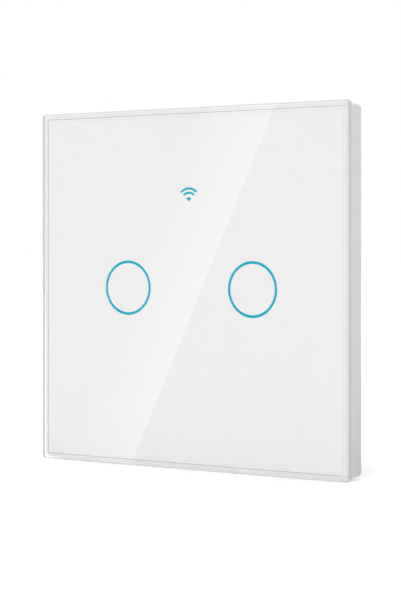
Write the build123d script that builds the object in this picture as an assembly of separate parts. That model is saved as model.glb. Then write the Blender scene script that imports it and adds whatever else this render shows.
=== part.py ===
from build123d import *
import math
import os

# Two-gang touch light switch for a square wall box.
# Millimetres, +Z up. The wall plane is Y = 0, the glass faces -Y and the housing sinks into the wall
# towards +Y. The origin is the middle of the wall plane. A depth in a "front" value is measured from
# the wall plane towards the room, and in a "rear" value from the wall plane into the wall.

# Shared
OVERRUN = 1.0                     # how far a cutting body runs past what it cuts
BOND_LINE = 0.02                  # film of air or glue between stacked layers
RUNNING_CLEARANCE = 0.06          # radial, for a shaft that turns in its hole

# Front panel: glass, print and filters
PANEL_SIZE = 86.0
GLASS_THICKNESS = 1.5
GLASS_CORNER_RADIUS = 0.8
GLASS_ARRIS = 0.25                # ground chamfer along every glass edge
PRINT_THICKNESS = 0.1
TAPE_SHOW = 0.5                   # width of tape that shows round the print
TAPE_THICKNESS = 0.2
TAPE_WIDTH = 3.6
FILTER_THICKNESS = 0.1
FILTER_LAP = 0.9                  # film that a filter needs beyond its slot
RING_PITCH = 35.0                 # between the two ring centres
RING_RADIUS = 6.3                 # centre line of a ring
RING_STROKE = 0.65
SIGNAL_HEIGHT = 20.7              # apex of the pictogram above the panel's middle
SIGNAL_OUTER_RADIUS = 3.1
SIGNAL_INNER_RADIUS = 2.1
SIGNAL_DOT_RADIUS = 1.05
SIGNAL_STROKE = 0.55
SIGNAL_HALF_ANGLE = 45.0          # degrees each side of upright

# Front panel: carrier frame
FRAME_WALL_GAP = 0.15             # keeps the frame off an uneven wall
FRAME_INSET = 0.5                 # from the glass edge to the frame's side
FRAME_WALL = 1.6
FRAME_CORNER_RADIUS = 1.3
FRAME_EDGE_RADIUS = 0.35
FRAME_FLANGE_WIDTH = 5.0          # inwards from the frame's inner wall
FRAME_FLANGE_THICKNESS = 1.4
FRAME_RIM_WALL = 0.8              # rim round the tape, seen through the clear edge of the glass
TAPE_CLEARANCE = 0.05             # between the tape and the rim round it
PRY_NOTCH_WIDTH = 14.0
PRY_NOTCH_DEPTH = 1.4
RIB_LENGTH = 10.0                 # snap ribs on the frame's inner walls
RIB_ENGAGEMENT = 0.5              # how far a rib reaches past the plate's edge into its pocket
RIB_THICKNESS = 1.0
RIB_FRONT = 0.8                   # nearest face of a rib, from the wall plane
RIB_OFFSET = 22.0                 # ribs left and right of each wall's middle

# Mounting plate
PLATE_CLEARANCE = 0.3             # between the plate's rim and the frame's inner wall
PLATE_THICKNESS = 1.8
PLATE_RIM_FRONT_GAP = 0.8         # from the plate's rim to the frame's flange
PLATE_CORNER_RADIUS = 1.5
SNAP_POCKET_WALL = 0.5            # left of the rim behind a pocket
SNAP_END_CLEARANCE = 1.0
SNAP_CLEARANCE = 0.05             # between a rib's tip and the catch that it passes
SNAP_LIFT = 0.2                   # between a rib and its catch along the pull
CATCH_HEIGHT = 0.35
CATCH_THICKNESS = 0.8
WALL_SCREW_RADIUS = 2.1
WALL_SLOT_LENGTH = 5.4
WALL_SLOT_WALL = 0.35             # left between a slotted hole and the housing's groove
WALL_SEAT_MARGIN = 0.8            # raised seat round a slotted hole
WALL_SEAT_HEIGHT = 0.3
PLATE_RIB_WIDTH = 1.2
PLATE_RIB_HEIGHT = 0.6
PLATE_RIB_LENGTH = 34.0

# Touch board and what it carries
TOUCH_BOARD_MARGIN = 6.2          # from the board's edge to the plate's rim
TOUCH_BOARD_CORNER_RADIUS = 2.0
TOUCH_BOARD_THICKNESS = 1.0
TOUCH_BOARD_STANDOFF = 0.8
GUIDE_SEAT_MARGIN = 0.95          # board left between a light guide and the notch for a wall screw
TOUCH_SCREW_EDGE = 4.0            # from the board's edge to a screw's axis
TOUCH_SCREW_RADIUS = 0.8
TOUCH_SCREW_HEAD_RADIUS = 1.6
TOUCH_SCREW_HEAD_HEIGHT = 0.9
TOUCH_SCREW_SLOT = 0.4
TOUCH_PILOT_FLOOR = 0.4           # left of the plate under a pilot hole
TOUCH_POST_WALL = 1.4
PARTS_ROOM = 2.2                  # height of the foam and the light guides on the board
FRONT_GAP = 0.1                   # between the pieces on the board and the filters
PAD_GAP = 0.7                     # between a foam electrode and its light guide
GUIDE_HALF_WIDTH = 1.0
LED_SIDE_GAP = 0.15
GUIDE_LED_GAP = 0.15
LED_LENGTH = 1.6
LED_WIDTH = 0.8
LED_HEIGHT = 0.6
LEDS_PER_RING = 4
SHROUD_WALL = 0.8
SHROUD_MARGIN = 1.0               # round the pictogram's arcs
CHIP_LENGTH = 4.9
CHIP_WIDTH = 3.9
CHIP_HEIGHT = 1.5
CHIP_LEG_SPAN = 6.0
CHIP_LEG_PAIRS = 4
CHIP_LEG_WIDTH = 0.42
CHIP_LEG_PITCH = 1.27
CHIP_LEG_HEIGHT = 0.6
TOUCH_CHIP_PLACE = 7.5
PASSIVE_PITCH = 2.6
PASSIVE_COUNT = 6
PASSIVE_PLACE = -1.5
RADIO_WIDTH = 16.0
RADIO_LENGTH = 20.0
RADIO_THICKNESS = 0.6
RADIO_EDGE = 3.0                  # from the touch board's lower edge
SHIELD_WIDTH = 12.4
SHIELD_LENGTH = 12.0
SHIELD_FRONT_GAP = 0.1
SHIELD_WALL = 0.2
SHIELD_MARGIN = 1.6               # from the module's upper edge, away from the aerial
SHIELD_CORNER_RADIUS = 0.6

# Connector between the boards
PIN_COUNT = 6
PIN_PITCH = 2.54
PIN_SIDE = 0.64
PIN_PLAY = 0.08
PIN_TAIL = 1.2
HEADER_EDGE = 2.9                 # from the power board's upper edge to the row of pins
HEADER_WIDTH = 2.5
HEADER_BASE_HEIGHT = 2.5
PIN_SOCKET_DEPTH = 4.2
HEADER_WINDOW_GAP = 0.7

# Rear housing
HOUSING_REAR_GAP = 2.0            # behind the relays, which are the tallest parts
HOUSING_WALL = 1.6
HOUSING_EDGE_RADIUS = 0.9
HOUSING_GROOVE_DEPTH = 0.4        # groove in the plate that locates the housing's rim
HOUSING_GROOVE_CLEARANCE = 0.1
BOSS_SIDE_GAP = 0.5               # from a boss to the housing's side wall
BOSS_CORNER_GAP = 0.2             # from a boss to the housing's cut corner
BOSS_RELAY_GAP = 0.5
BOSS_WALL = 1.0
BOSS_FLOOR = 1.6
PILLAR_WALL = 1.3
PILLAR_SHOULDER = 1.0             # step that the power board rests on
PILLAR_NOTCH_CLEARANCE = 0.4
HOUSING_SCREW_RADIUS = 1.1
HOUSING_SCREW_HOLE_CLEARANCE = 0.2
HOUSING_SCREW_HEAD_RADIUS = 2.2
HOUSING_SCREW_HEAD_GAP = 0.5
HOUSING_SCREW_HEAD_HEIGHT = 1.5
HOUSING_SCREW_BITE = 5.0
HOUSING_SCREW_SLOT_WIDTH = 0.6
HOUSING_SCREW_SLOT_DEPTH = 0.6
VENT_COUNT = 6
VENT_WIDTH = 1.4
VENT_LENGTH = 16.0
VENT_PITCH = 4.0
VENT_PLACE = 10.0

# Power board
POWER_BOARD_STANDOFF = 5.5        # from the wall plane to the board's front face
POWER_BOARD_THICKNESS = 1.6
POWER_BOARD_CLEARANCE = 0.9       # all round, to the housing's inner wall

# Terminals
POLE_COUNT = 4
POLE_WALL = 2.0                   # between two cells
BLOCK_END_WALL = 0.5
BLOCK_BACK_WALL = 0.5
BLOCK_WALL_GAP = 0.4              # to the housing's lower wall
BLOCK_FLOOR = 1.2
BLOCK_ROOF = 2.6
CAGE_LENGTH = 6.4
CAGE_SIDE_WALL = 0.8
CAGE_PRESS_WALL = 1.0             # wall that presses on the wire
CAGE_THREAD_WALL = 1.6            # wall that the screw runs in
CAGE_PLAY = 0.2
CELL_END_WALL = 1.5               # between the block's outer face and the cell
BAR_SIDE_GAP = 0.3
BAR_THICKNESS = 1.2
BAR_LEG_THICKNESS = 0.8
BAR_LEG_GAP = 0.5
BAR_TOP_GAP = 0.1
BAR_END_SETBACK = 0.6
BAR_TAIL = 1.0
BAR_PLAY = 0.1
TERMINAL_SCREW_RADIUS = 1.5
TERMINAL_SCREW_PITCH = 0.5
TERMINAL_SCREW_TURNS = 5
CLAMP_END_GAP = 0.4               # left behind a fully raised cage
TERMINAL_SCREW_TIP_GAP = 0.1
TERMINAL_HEAD_RADIUS = 2.4
TERMINAL_HEAD_HEIGHT = 1.7
TERMINAL_HEAD_SINK = 0.3
TERMINAL_SLOT_WIDTH = 0.8
TERMINAL_SLOT_DEPTH = 0.9
WIRE_ENTRY_RADIUS = 1.9
WIRE_SIDE_GAP = 0.1
WIRE_DEPTH_GAP = 0.05
DRIVER_WINDOW_MARGIN = 1.0        # round the terminal screws' heads

# Relays
RELAY_WALL = 0.6
RELAY_GAP = 1.5
RELAY_BLOCK_GAP = 2.0             # from the terminal block to the relays
RELAY_BASE_HEIGHT = 1.5
RELAY_FIT = 0.05
RELAY_EDGE_RADIUS = 0.4
YOKE_THICKNESS = 1.0
YOKE_WIDTH = 4.8
YOKE_END_GAP = 1.4                # from the cover's wall to the yoke's foot
CORE_RADIUS = 1.2
POLE_RADIUS = 2.0
POLE_THICKNESS = 0.6
POLE_HEIGHT = 12.0                # above the power board
POLE_GAP = 0.5                    # from the pole up to the yoke's knife edge
COIL_RADIUS = 2.5
BOBBIN_RADIUS = 2.8
BOBBIN_FLANGE = 0.5
BOBBIN_GAP = 0.1
BOBBIN_END_GAP = 2.3
BOBBIN_SIDE_GAP = 0.2
BOBBIN_YOKE_GAP = 1.0
COIL_TOP_GAP = 0.3
ARMATURE_THICKNESS = 0.8
ARMATURE_GAP = 0.1                # over the yoke's knife edge
ARMATURE_LAP = 1.1                # beyond the pole disc
ARMATURE_WIDTH = 4.6
BLADE_THICKNESS = 0.3
BLADE_WIDTH = 3.0
BLADE_LAP = 0.2                   # beyond the rivet
CONTACT_RADIUS = 1.0
CONTACT_HEIGHT = 0.3
CONTACT_ARM = 5.9                 # from the yoke to the rivet
CONTACT_GAP = 0.6
CONTACT_REST_GAP = 0.1
CONTACT_BAR_THICKNESS = 0.4
CONTACT_BAR_WIDTH = 2.6
CONTACT_POST_GAP = 1.0
CONTACT_END_GAP = 0.9
CONTACT_TOP_GAP = 0.5

# Supply parts on the power board
SUPPLY_GAP = 1.1                  # between neighbours
SUPPLY_ROW_GAP = 3.7              # from the relays to the first row
HEADER_ROW_GAP = 5.4              # from the last row to the line of header pins
TRANSFORMER_WIDTH = 6.0
TRANSFORMER_HEIGHT = 12.6
TRANSFORMER_LEG = 2.4
TRANSFORMER_MIDDLE_LEG = 2.6
TRANSFORMER_LIFT = 1.6
TRANSFORMER_X = -6.5
WINDING_LENGTH = 8.0
WINDING_BUILD = 2.4               # thickness of the wound copper
WINDING_GAP = 0.1
WINDING_SIDE_GAP = 0.3
WINDING_CORNER_RADIUS = 1.2
MAINS_CAPACITOR_RADIUS = 5.0
MAINS_CAPACITOR_HEIGHT = 13.0
OUTPUT_CAPACITOR_RADIUS = 3.15
OUTPUT_CAPACITOR_HEIGHT = 11.0
CAPACITOR_BEAD_PLACE = 1.6        # the rolled groove above a can's foot
CAPACITOR_BEAD_RADIUS = 0.35
CAPACITOR_EDGE_RADIUS = 0.5
FILM_CAPACITOR_LENGTH = 13.0
FILM_CAPACITOR_WIDTH = 6.0
FILM_CAPACITOR_HEIGHT = 12.0
VARISTOR_RADIUS = 4.5
VARISTOR_THICKNESS = 3.6
VARISTOR_LIFT = 1.4
VARISTOR_LEAD_RADIUS = 0.3
VARISTOR_LEAD_PITCH = 5.0
FUSE_RADIUS = 4.1
FUSE_HEIGHT = 7.8
CHOKE_FLANGE_RADIUS = 3.0
CHOKE_WAIST_RADIUS = 2.4
CHOKE_FLANGE_HEIGHT = 1.2
CHOKE_HEIGHT = 8.0
RECTIFIER_LENGTH = 4.7
RECTIFIER_WIDTH = 3.9
RECTIFIER_HEIGHT = 2.4

# Depths in front of the wall plane, from the plate out to the glass
TOUCH_BOARD_BACK = PLATE_THICKNESS + TOUCH_BOARD_STANDOFF
TOUCH_BOARD_FRONT = TOUCH_BOARD_BACK + TOUCH_BOARD_THICKNESS
PARTS_FRONT = TOUCH_BOARD_FRONT + PARTS_ROOM
FILTER_BACK = PARTS_FRONT + FRONT_GAP
TAPE_FRONT = FILTER_BACK + FILTER_THICKNESS
FRAME_DEPTH = TAPE_FRONT - TAPE_THICKNESS
PRINT_FRONT = TAPE_FRONT + PRINT_THICKNESS
GLASS_BACK = PRINT_FRONT + BOND_LINE
GLASS_FRONT = GLASS_BACK + GLASS_THICKNESS
FRAME_CAVITY = FRAME_DEPTH - FRAME_FLANGE_THICKNESS
PLATE_RIM_DEPTH = FRAME_CAVITY - PLATE_RIM_FRONT_GAP

# Widths of the nested front pieces
FRAME_SIZE = PANEL_SIZE - 2 * FRAME_INSET
FRAME_INSIDE = FRAME_SIZE - 2 * FRAME_WALL
TAPE_RECESS = FRAME_SIZE - 2 * FRAME_RIM_WALL
TAPE_SIZE = TAPE_RECESS - 2 * TAPE_CLEARANCE
PRINT_SIZE = TAPE_SIZE - 2 * TAPE_SHOW
PLATE_SIZE = FRAME_INSIDE - 2 * PLATE_CLEARANCE
RIB_REACH = PLATE_CLEARANCE + RIB_ENGAGEMENT
SNAP_POCKET_DEPTH = RIB_ENGAGEMENT + SNAP_CLEARANCE + CATCH_HEIGHT
PLATE_RIM_WALL = SNAP_POCKET_DEPTH + SNAP_POCKET_WALL
PLATE_INSIDE = PLATE_SIZE - 2 * PLATE_RIM_WALL
TOUCH_BOARD_SIZE = PLATE_INSIDE - 2 * TOUCH_BOARD_MARGIN
PLATE_RIB_PLACE = (TOUCH_BOARD_SIZE + PLATE_INSIDE) / 4
WALL_SEAT_RADIUS = WALL_SLOT_LENGTH / 2 + WALL_SEAT_MARGIN

# Relays: u runs along the length from the cover's end, h rises from the power board
RELAY_WIDTH = 2 * (BOBBIN_RADIUS + BOBBIN_SIDE_GAP + RELAY_WALL)
CORE_PLACE = RELAY_WALL + BOBBIN_END_GAP + BOBBIN_RADIUS
YOKE_START = RELAY_WALL + YOKE_END_GAP
YOKE_END = CORE_PLACE + BOBBIN_RADIUS + BOBBIN_YOKE_GAP + YOKE_THICKNESS
YOKE_HEIGHT = POLE_HEIGHT + POLE_GAP
ARMATURE_START = CORE_PLACE - POLE_RADIUS - ARMATURE_LAP
ARMATURE_LOW = YOKE_HEIGHT + ARMATURE_GAP
CONTACT_PLACE = YOKE_END + CONTACT_ARM
BLADE_END = CONTACT_PLACE + CONTACT_RADIUS + BLADE_LAP
CONTACT_POST_PLACE = BLADE_END + CONTACT_POST_GAP
RELAY_LENGTH = CONTACT_POST_PLACE + CONTACT_BAR_THICKNESS + CONTACT_END_GAP + RELAY_WALL
REST_CONTACT_TOP = ARMATURE_LOW - CONTACT_HEIGHT - CONTACT_REST_GAP
MAKE_CONTACT_LOW = ARMATURE_LOW + BLADE_THICKNESS + CONTACT_HEIGHT + CONTACT_GAP
RELAY_HEIGHT = MAKE_CONTACT_LOW + CONTACT_BAR_THICKNESS + CONTACT_TOP_GAP + RELAY_WALL

# Terminals
CAGE_WIDTH = 2 * (WIRE_ENTRY_RADIUS + WIRE_SIDE_GAP + CAGE_SIDE_WALL)
CAGE_WIRE_ROOM = 2 * (WIRE_ENTRY_RADIUS + WIRE_DEPTH_GAP)
CAGE_HEIGHT = CAGE_PRESS_WALL + CAGE_WIRE_ROOM + BAR_THICKNESS + BAR_TOP_GAP + CAGE_THREAD_WALL
CLAMP_TRAVEL = TERMINAL_SCREW_TURNS * TERMINAL_SCREW_PITCH
POLE_PITCH = CAGE_WIDTH + 2 * CAGE_PLAY + POLE_WALL
BAR_WIDTH = CAGE_WIDTH - 2 * (CAGE_SIDE_WALL + BAR_SIDE_GAP)
BLOCK_LENGTH_Z = (CELL_END_WALL + 2 * CAGE_PLAY + CAGE_LENGTH + BAR_LEG_GAP + BAR_LEG_THICKNESS
                  + BAR_PLAY + BLOCK_BACK_WALL)

# The housing's inside holds the terminals, the relays, two rows of supply parts and the header
TRANSFORMER_LENGTH = WINDING_LENGTH + 2 * (WINDING_SIDE_GAP + TRANSFORMER_LEG)
WINDING_WIDTH = TRANSFORMER_WIDTH + 2 * (WINDING_GAP + WINDING_BUILD)
LOWER_ROWS = BLOCK_WALL_GAP + BLOCK_LENGTH_Z + RELAY_BLOCK_GAP + RELAY_WIDTH
SUPPLY_ROWS = SUPPLY_ROW_GAP + WINDING_WIDTH + SUPPLY_GAP + FILM_CAPACITOR_WIDTH
HEADER_ROOM = HEADER_ROW_GAP + HEADER_EDGE + POWER_BOARD_CLEARANCE
HOUSING_INSIDE = LOWER_ROWS + SUPPLY_ROWS + HEADER_ROOM
HOUSING_SIZE = HOUSING_INSIDE + 2 * HOUSING_WALL
WALL_SCREW_GAP = HOUSING_GROOVE_CLEARANCE + WALL_SLOT_WALL + WALL_SLOT_LENGTH / 2
WALL_SCREW_SPACING = HOUSING_SIZE + 2 * WALL_SCREW_GAP

# Touch board
GUIDE_OUTER_RADIUS = RING_RADIUS + GUIDE_HALF_WIDTH
GUIDE_INNER_RADIUS = RING_RADIUS - GUIDE_HALF_WIDTH
GUIDE_GROOVE_WIDTH = LED_WIDTH + 2 * LED_SIDE_GAP
PAD_RADIUS = GUIDE_INNER_RADIUS - PAD_GAP
GUIDE_TO_WALL_SCREW = (WALL_SCREW_SPACING - RING_PITCH) / 2 - GUIDE_OUTER_RADIUS
TOUCH_BOARD_NOTCH_RADIUS = GUIDE_TO_WALL_SCREW - GUIDE_SEAT_MARGIN
TOUCH_SCREW_PLACE = TOUCH_BOARD_SIZE / 2 - TOUCH_SCREW_EDGE
TOUCH_SCREW_BITE = TOUCH_BOARD_BACK - TOUCH_PILOT_FLOOR
TOUCH_POST_RADIUS = TOUCH_SCREW_RADIUS + TOUCH_POST_WALL
SHROUD_INNER_RADIUS = SIGNAL_OUTER_RADIUS / 2 + SHROUD_MARGIN
SHROUD_OUTER_RADIUS = SHROUD_INNER_RADIUS + SHROUD_WALL
SHROUD_PLACE = SIGNAL_HEIGHT + SIGNAL_OUTER_RADIUS / 2
RADIO_PLACE = (RADIO_LENGTH - TOUCH_BOARD_SIZE) / 2 + RADIO_EDGE
SHIELD_OFFSET = (RADIO_LENGTH - SHIELD_LENGTH) / 2 - SHIELD_MARGIN
SHIELD_HEIGHT = PARTS_ROOM - RADIO_THICKNESS - SHIELD_FRONT_GAP

# Depths behind the wall plane
POWER_BOARD_REAR = POWER_BOARD_STANDOFF + POWER_BOARD_THICKNESS
HOUSING_FLOOR = POWER_BOARD_REAR + RELAY_HEIGHT + HOUSING_REAR_GAP
HOUSING_DEPTH = HOUSING_FLOOR + HOUSING_WALL
CORNER_SHIFT_SHARE = 2 - math.sqrt(2)   # of an offset, the change in the leg of a 45 degree corner
POWER_BOARD_SIZE = HOUSING_INSIDE - 2 * POWER_BOARD_CLEARANCE
HEADER_PLACE = POWER_BOARD_SIZE / 2 - HEADER_EDGE
BOSS_BORE_RADIUS = HOUSING_SCREW_HEAD_RADIUS + HOUSING_SCREW_HEAD_GAP
BOSS_RADIUS = BOSS_BORE_RADIUS + BOSS_WALL
BOSS_X = HOUSING_INSIDE / 2 - BOSS_RADIUS - BOSS_SIDE_GAP
BOSS_Z = HOUSING_INSIDE / 2 - BLOCK_WALL_GAP - BLOCK_LENGTH_Z - RELAY_BLOCK_GAP + BOSS_RADIUS + BOSS_RELAY_GAP
BOSS_CORNER_REACH = math.sqrt(2) * (BOSS_RADIUS + BOSS_CORNER_GAP)
HOUSING_INNER_CHAMFER = HOUSING_INSIDE - BOSS_X - BOSS_Z - BOSS_CORNER_REACH
HOUSING_CHAMFER = HOUSING_INNER_CHAMFER + HOUSING_WALL * CORNER_SHIFT_SHARE
PILLAR_RADIUS = HOUSING_SCREW_RADIUS + PILLAR_WALL
PILLAR_SHOULDER_RADIUS = PILLAR_RADIUS + PILLAR_SHOULDER

# Terminal places
BLOCK_LOW = -HOUSING_INSIDE / 2 + BLOCK_WALL_GAP
BLOCK_HIGH = BLOCK_LOW + BLOCK_LENGTH_Z
CELL_LOW = BLOCK_LOW + CELL_END_WALL
CAGE_LOW = CELL_LOW + 2 * CAGE_PLAY
CAGE_HIGH = CAGE_LOW + CAGE_LENGTH
BAR_LEG_LOW = CAGE_HIGH + BAR_LEG_GAP
BAR_LEG_HIGH = BAR_LEG_LOW + BAR_LEG_THICKNESS
SCREW_Z = (CAGE_LOW + CAGE_HIGH) / 2
CAGE_NEAR = POWER_BOARD_REAR + BLOCK_FLOOR + CAGE_PLAY
CAGE_FAR = CAGE_NEAR + CAGE_HEIGHT
CELL_FAR = CAGE_FAR + CLAMP_TRAVEL + CLAMP_END_GAP
BLOCK_REAR = CELL_FAR + BLOCK_ROOF
BAR_FAR = CAGE_FAR - CAGE_THREAD_WALL - BAR_TOP_GAP
BAR_NEAR = BAR_FAR - BAR_THICKNESS
WIRE_DEPTH = BAR_NEAR - CAGE_WIRE_ROOM / 2
HEAD_FAR = BLOCK_REAR - TERMINAL_HEAD_SINK
HEAD_NEAR = HEAD_FAR - TERMINAL_HEAD_HEIGHT
DRIVER_WINDOW_HEIGHT = 2 * (TERMINAL_HEAD_RADIUS + DRIVER_WINDOW_MARGIN)
DRIVER_WINDOW_WIDTH = (POLE_COUNT - 1) * POLE_PITCH + DRIVER_WINDOW_HEIGHT

# Places of the supply parts, each beside its neighbour
RELAY_PLACE = BLOCK_HIGH + RELAY_BLOCK_GAP + RELAY_WIDTH / 2
SUPPLY_LOW = RELAY_PLACE + RELAY_WIDTH / 2 + SUPPLY_ROW_GAP
TRANSFORMER_Z = SUPPLY_LOW + WINDING_WIDTH / 2
TRANSFORMER_RIGHT = TRANSFORMER_X + TRANSFORMER_LENGTH / 2
MAINS_CAPACITOR_X = TRANSFORMER_RIGHT + SUPPLY_GAP + MAINS_CAPACITOR_RADIUS
MAINS_CAPACITOR_Z = SUPPLY_LOW + MAINS_CAPACITOR_RADIUS
OUTPUT_CAPACITOR_X = MAINS_CAPACITOR_X + MAINS_CAPACITOR_RADIUS + SUPPLY_GAP + OUTPUT_CAPACITOR_RADIUS
OUTPUT_CAPACITOR_Z = SUPPLY_LOW + OUTPUT_CAPACITOR_RADIUS
CHOKE_X = TRANSFORMER_X - TRANSFORMER_LENGTH / 2 - SUPPLY_GAP - CHOKE_FLANGE_RADIUS
CHOKE_Z = SUPPLY_LOW + CHOKE_FLANGE_RADIUS
CONVERTER_X = CHOKE_X
CONVERTER_Z = CHOKE_Z + CHOKE_FLANGE_RADIUS + SUPPLY_GAP + CHIP_LEG_SPAN / 2
FILM_CAPACITOR_Z = TRANSFORMER_Z + WINDING_WIDTH / 2 + SUPPLY_GAP + FILM_CAPACITOR_WIDTH / 2
VARISTOR_X = TRANSFORMER_X + FILM_CAPACITOR_LENGTH / 2 + SUPPLY_GAP + VARISTOR_RADIUS
VARISTOR_Z = MAINS_CAPACITOR_Z + MAINS_CAPACITOR_RADIUS + SUPPLY_GAP + VARISTOR_THICKNESS / 2
FUSE_X = VARISTOR_X + VARISTOR_RADIUS + SUPPLY_GAP + FUSE_RADIUS
FUSE_Z = OUTPUT_CAPACITOR_Z + OUTPUT_CAPACITOR_RADIUS + SUPPLY_GAP + FUSE_RADIUS
RECTIFIER_X = BOSS_X - BOSS_RADIUS - 2 * SUPPLY_GAP - RECTIFIER_LENGTH / 2
RECTIFIER_Z = FUSE_Z + FUSE_RADIUS + SUPPLY_GAP + RECTIFIER_WIDTH / 2

# Places that repeat
SIDES = {"left": -1, "right": 1}
CORNERS = [(i, k) for i in (-1, 1) for k in (-1, 1)]
POLES = [(n - (POLE_COUNT - 1) / 2) * POLE_PITCH for n in range(POLE_COUNT)]
RELAY_STARTS = [-RELAY_GAP / 2 - RELAY_LENGTH, RELAY_GAP / 2]


def box_between(low, high):
    """A box given by its lowest and highest corner."""
    size = [b - a for a, b in zip(low, high)]
    middle = [(a + b) / 2 for a, b in zip(low, high)]
    return Pos(*middle) * Box(*size)


def plate_between(y_low, y_high, width, height, x=0, z=0, corner=0):
    """A rectangular plate square to Y, centred on (x, z), with rounded corners."""
    plate = Pos(x, (y_low + y_high) / 2, z) * Box(width, y_high - y_low, height)
    if corner:
        plate = fillet(plate.edges().filter_by(Axis.Y), corner)
    return plate


def rod(y_low, y_high, radius, x=0, z=0):
    """A round bar along Y."""
    return Pos(x, (y_low + y_high) / 2, z) * Rot(90, 0, 0) * Cylinder(radius, y_high - y_low)


def tube(y_low, y_high, outer, inner, x=0, z=0):
    """A round tube along Y."""
    bore = rod(y_low - OVERRUN, y_high + OVERRUN, inner, x, z)
    return rod(y_low, y_high, outer, x, z) - bore


def square_edges(solid, y):
    """The edges of a solid that lie in the plane at depth y."""
    near = BOND_LINE / 2
    return [e for e in solid.edges() if abs(e.center().Y - y) < near and e.bounding_box().size.Y < near]


def octagon_prism(y_low, y_high, size, leg):
    """A square prism along Y whose four corners are cut at 45 degrees by the given leg."""
    prism = Pos(0, (y_low + y_high) / 2, 0) * Box(size, y_high - y_low, size)
    return chamfer(prism.edges().filter_by(Axis.Y), leg)


def glass_panel():
    """The glass plate with rounded corners and a ground arris on both faces."""
    glass = plate_between(-GLASS_FRONT, -GLASS_BACK, PANEL_SIZE, PANEL_SIZE, corner=GLASS_CORNER_RADIUS)
    rims = square_edges(glass, -GLASS_FRONT) + square_edges(glass, -GLASS_BACK)
    return chamfer(rims, GLASS_ARRIS)


def fan(radius, stroke, y_low, y_high):
    """One arc of the pictogram, or its dot when the stroke is the radius."""
    mid = radius - stroke / 2
    band = rod(y_low, y_high, mid + stroke / 2, z=SIGNAL_HEIGHT)
    if stroke < radius:
        band = tube(y_low, y_high, radius + stroke / 2, radius - stroke / 2, z=SIGNAL_HEIGHT)
    reach = radius + stroke
    spread = reach * math.tan(math.radians(SIGNAL_HALF_ANGLE))
    with BuildSketch(Plane.XZ.offset(-y_high)) as wedge:
        with BuildLine():
            top = SIGNAL_HEIGHT + reach
            Polyline((0, SIGNAL_HEIGHT), (spread, top), (-spread, top), close=True)
        make_face()
    return band & extrude(wedge.sketch, y_high - y_low)


def signal_slots(y_low, y_high):
    """The three openings of the pictogram."""
    outer = fan(SIGNAL_OUTER_RADIUS, SIGNAL_STROKE, y_low, y_high)
    inner = fan(SIGNAL_INNER_RADIUS, SIGNAL_STROKE, y_low, y_high)
    dot = fan(SIGNAL_DOT_RADIUS, SIGNAL_DOT_RADIUS, y_low, y_high)
    return outer + inner + dot


def glass_print():
    """The white ink layer, with the ring slots and the pictogram left open."""
    ink = plate_between(-PRINT_FRONT, -TAPE_FRONT, PRINT_SIZE, PRINT_SIZE)
    slot_outer = RING_RADIUS + RING_STROKE / 2
    slot_inner = RING_RADIUS - RING_STROKE / 2
    for side in SIDES.values():
        ink -= tube(-PRINT_FRONT, -TAPE_FRONT, slot_outer, slot_inner, x=side * RING_PITCH / 2)
    return ink - signal_slots(-PRINT_FRONT, -TAPE_FRONT)


def ring_filter(side):
    """A ring of cyan film behind one ring slot."""
    lap = RING_STROKE / 2 + FILTER_LAP
    return tube(-TAPE_FRONT, -FILTER_BACK, RING_RADIUS + lap, RING_RADIUS - lap, x=side * RING_PITCH / 2)


def signal_filter():
    """A patch of cyan film behind the pictogram."""
    width = 2 * SIGNAL_OUTER_RADIUS * math.sin(math.radians(SIGNAL_HALF_ANGLE)) + 2 * FILTER_LAP
    height = SIGNAL_OUTER_RADIUS + 2 * FILTER_LAP
    middle = SIGNAL_HEIGHT + SIGNAL_OUTER_RADIUS / 2
    return plate_between(-TAPE_FRONT, -FILTER_BACK, width, height, z=middle)


def adhesive_tape():
    """A square ring of double-sided tape."""
    hole = TAPE_SIZE - 2 * TAPE_WIDTH
    tape = plate_between(-TAPE_FRONT, -FRAME_DEPTH, TAPE_SIZE, TAPE_SIZE)
    return tape - plate_between(-TAPE_FRONT - OVERRUN, -FRAME_DEPTH + OVERRUN, hole, hole)


def snap_spots():
    """Place and turn of each snap rib: two on each of the four walls."""
    spots = []
    for turn in (0, 90, 180, 270):
        for side in SIDES.values():
            spots.append(Rot(0, turn, 0) * Pos(side * RIB_OFFSET, 0, 0))
    return spots


def panel_frame():
    """The moulded frame: side walls, a flange for the tape, a rim round it, ribs and the pry notch."""
    frame = plate_between(-PRINT_FRONT, -FRAME_WALL_GAP, FRAME_SIZE, FRAME_SIZE, corner=FRAME_CORNER_RADIUS)
    frame = fillet(square_edges(frame, -FRAME_WALL_GAP), FRAME_EDGE_RADIUS)
    frame -= plate_between(-FRAME_CAVITY, OVERRUN, FRAME_INSIDE, FRAME_INSIDE)
    window = FRAME_INSIDE - 2 * FRAME_FLANGE_WIDTH
    frame -= plate_between(-PRINT_FRONT - OVERRUN, OVERRUN, window, window)
    frame -= plate_between(-PRINT_FRONT - OVERRUN, -FRAME_DEPTH, TAPE_RECESS, TAPE_RECESS)
    for spot in snap_spots():
        tip = FRAME_INSIDE / 2 - RIB_REACH
        low = (-RIB_LENGTH / 2, -RIB_FRONT - RIB_THICKNESS, tip)
        high = (RIB_LENGTH / 2, -RIB_FRONT, FRAME_INSIDE / 2 + FRAME_WALL / 2)
        frame += spot * box_between(low, high)
    low = (-PRY_NOTCH_WIDTH / 2, -PRY_NOTCH_DEPTH, -FRAME_SIZE / 2 - OVERRUN)
    high = (PRY_NOTCH_WIDTH / 2, OVERRUN, -FRAME_INSIDE / 2 + PLATE_CLEARANCE)
    return frame - box_between(low, high)


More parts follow.
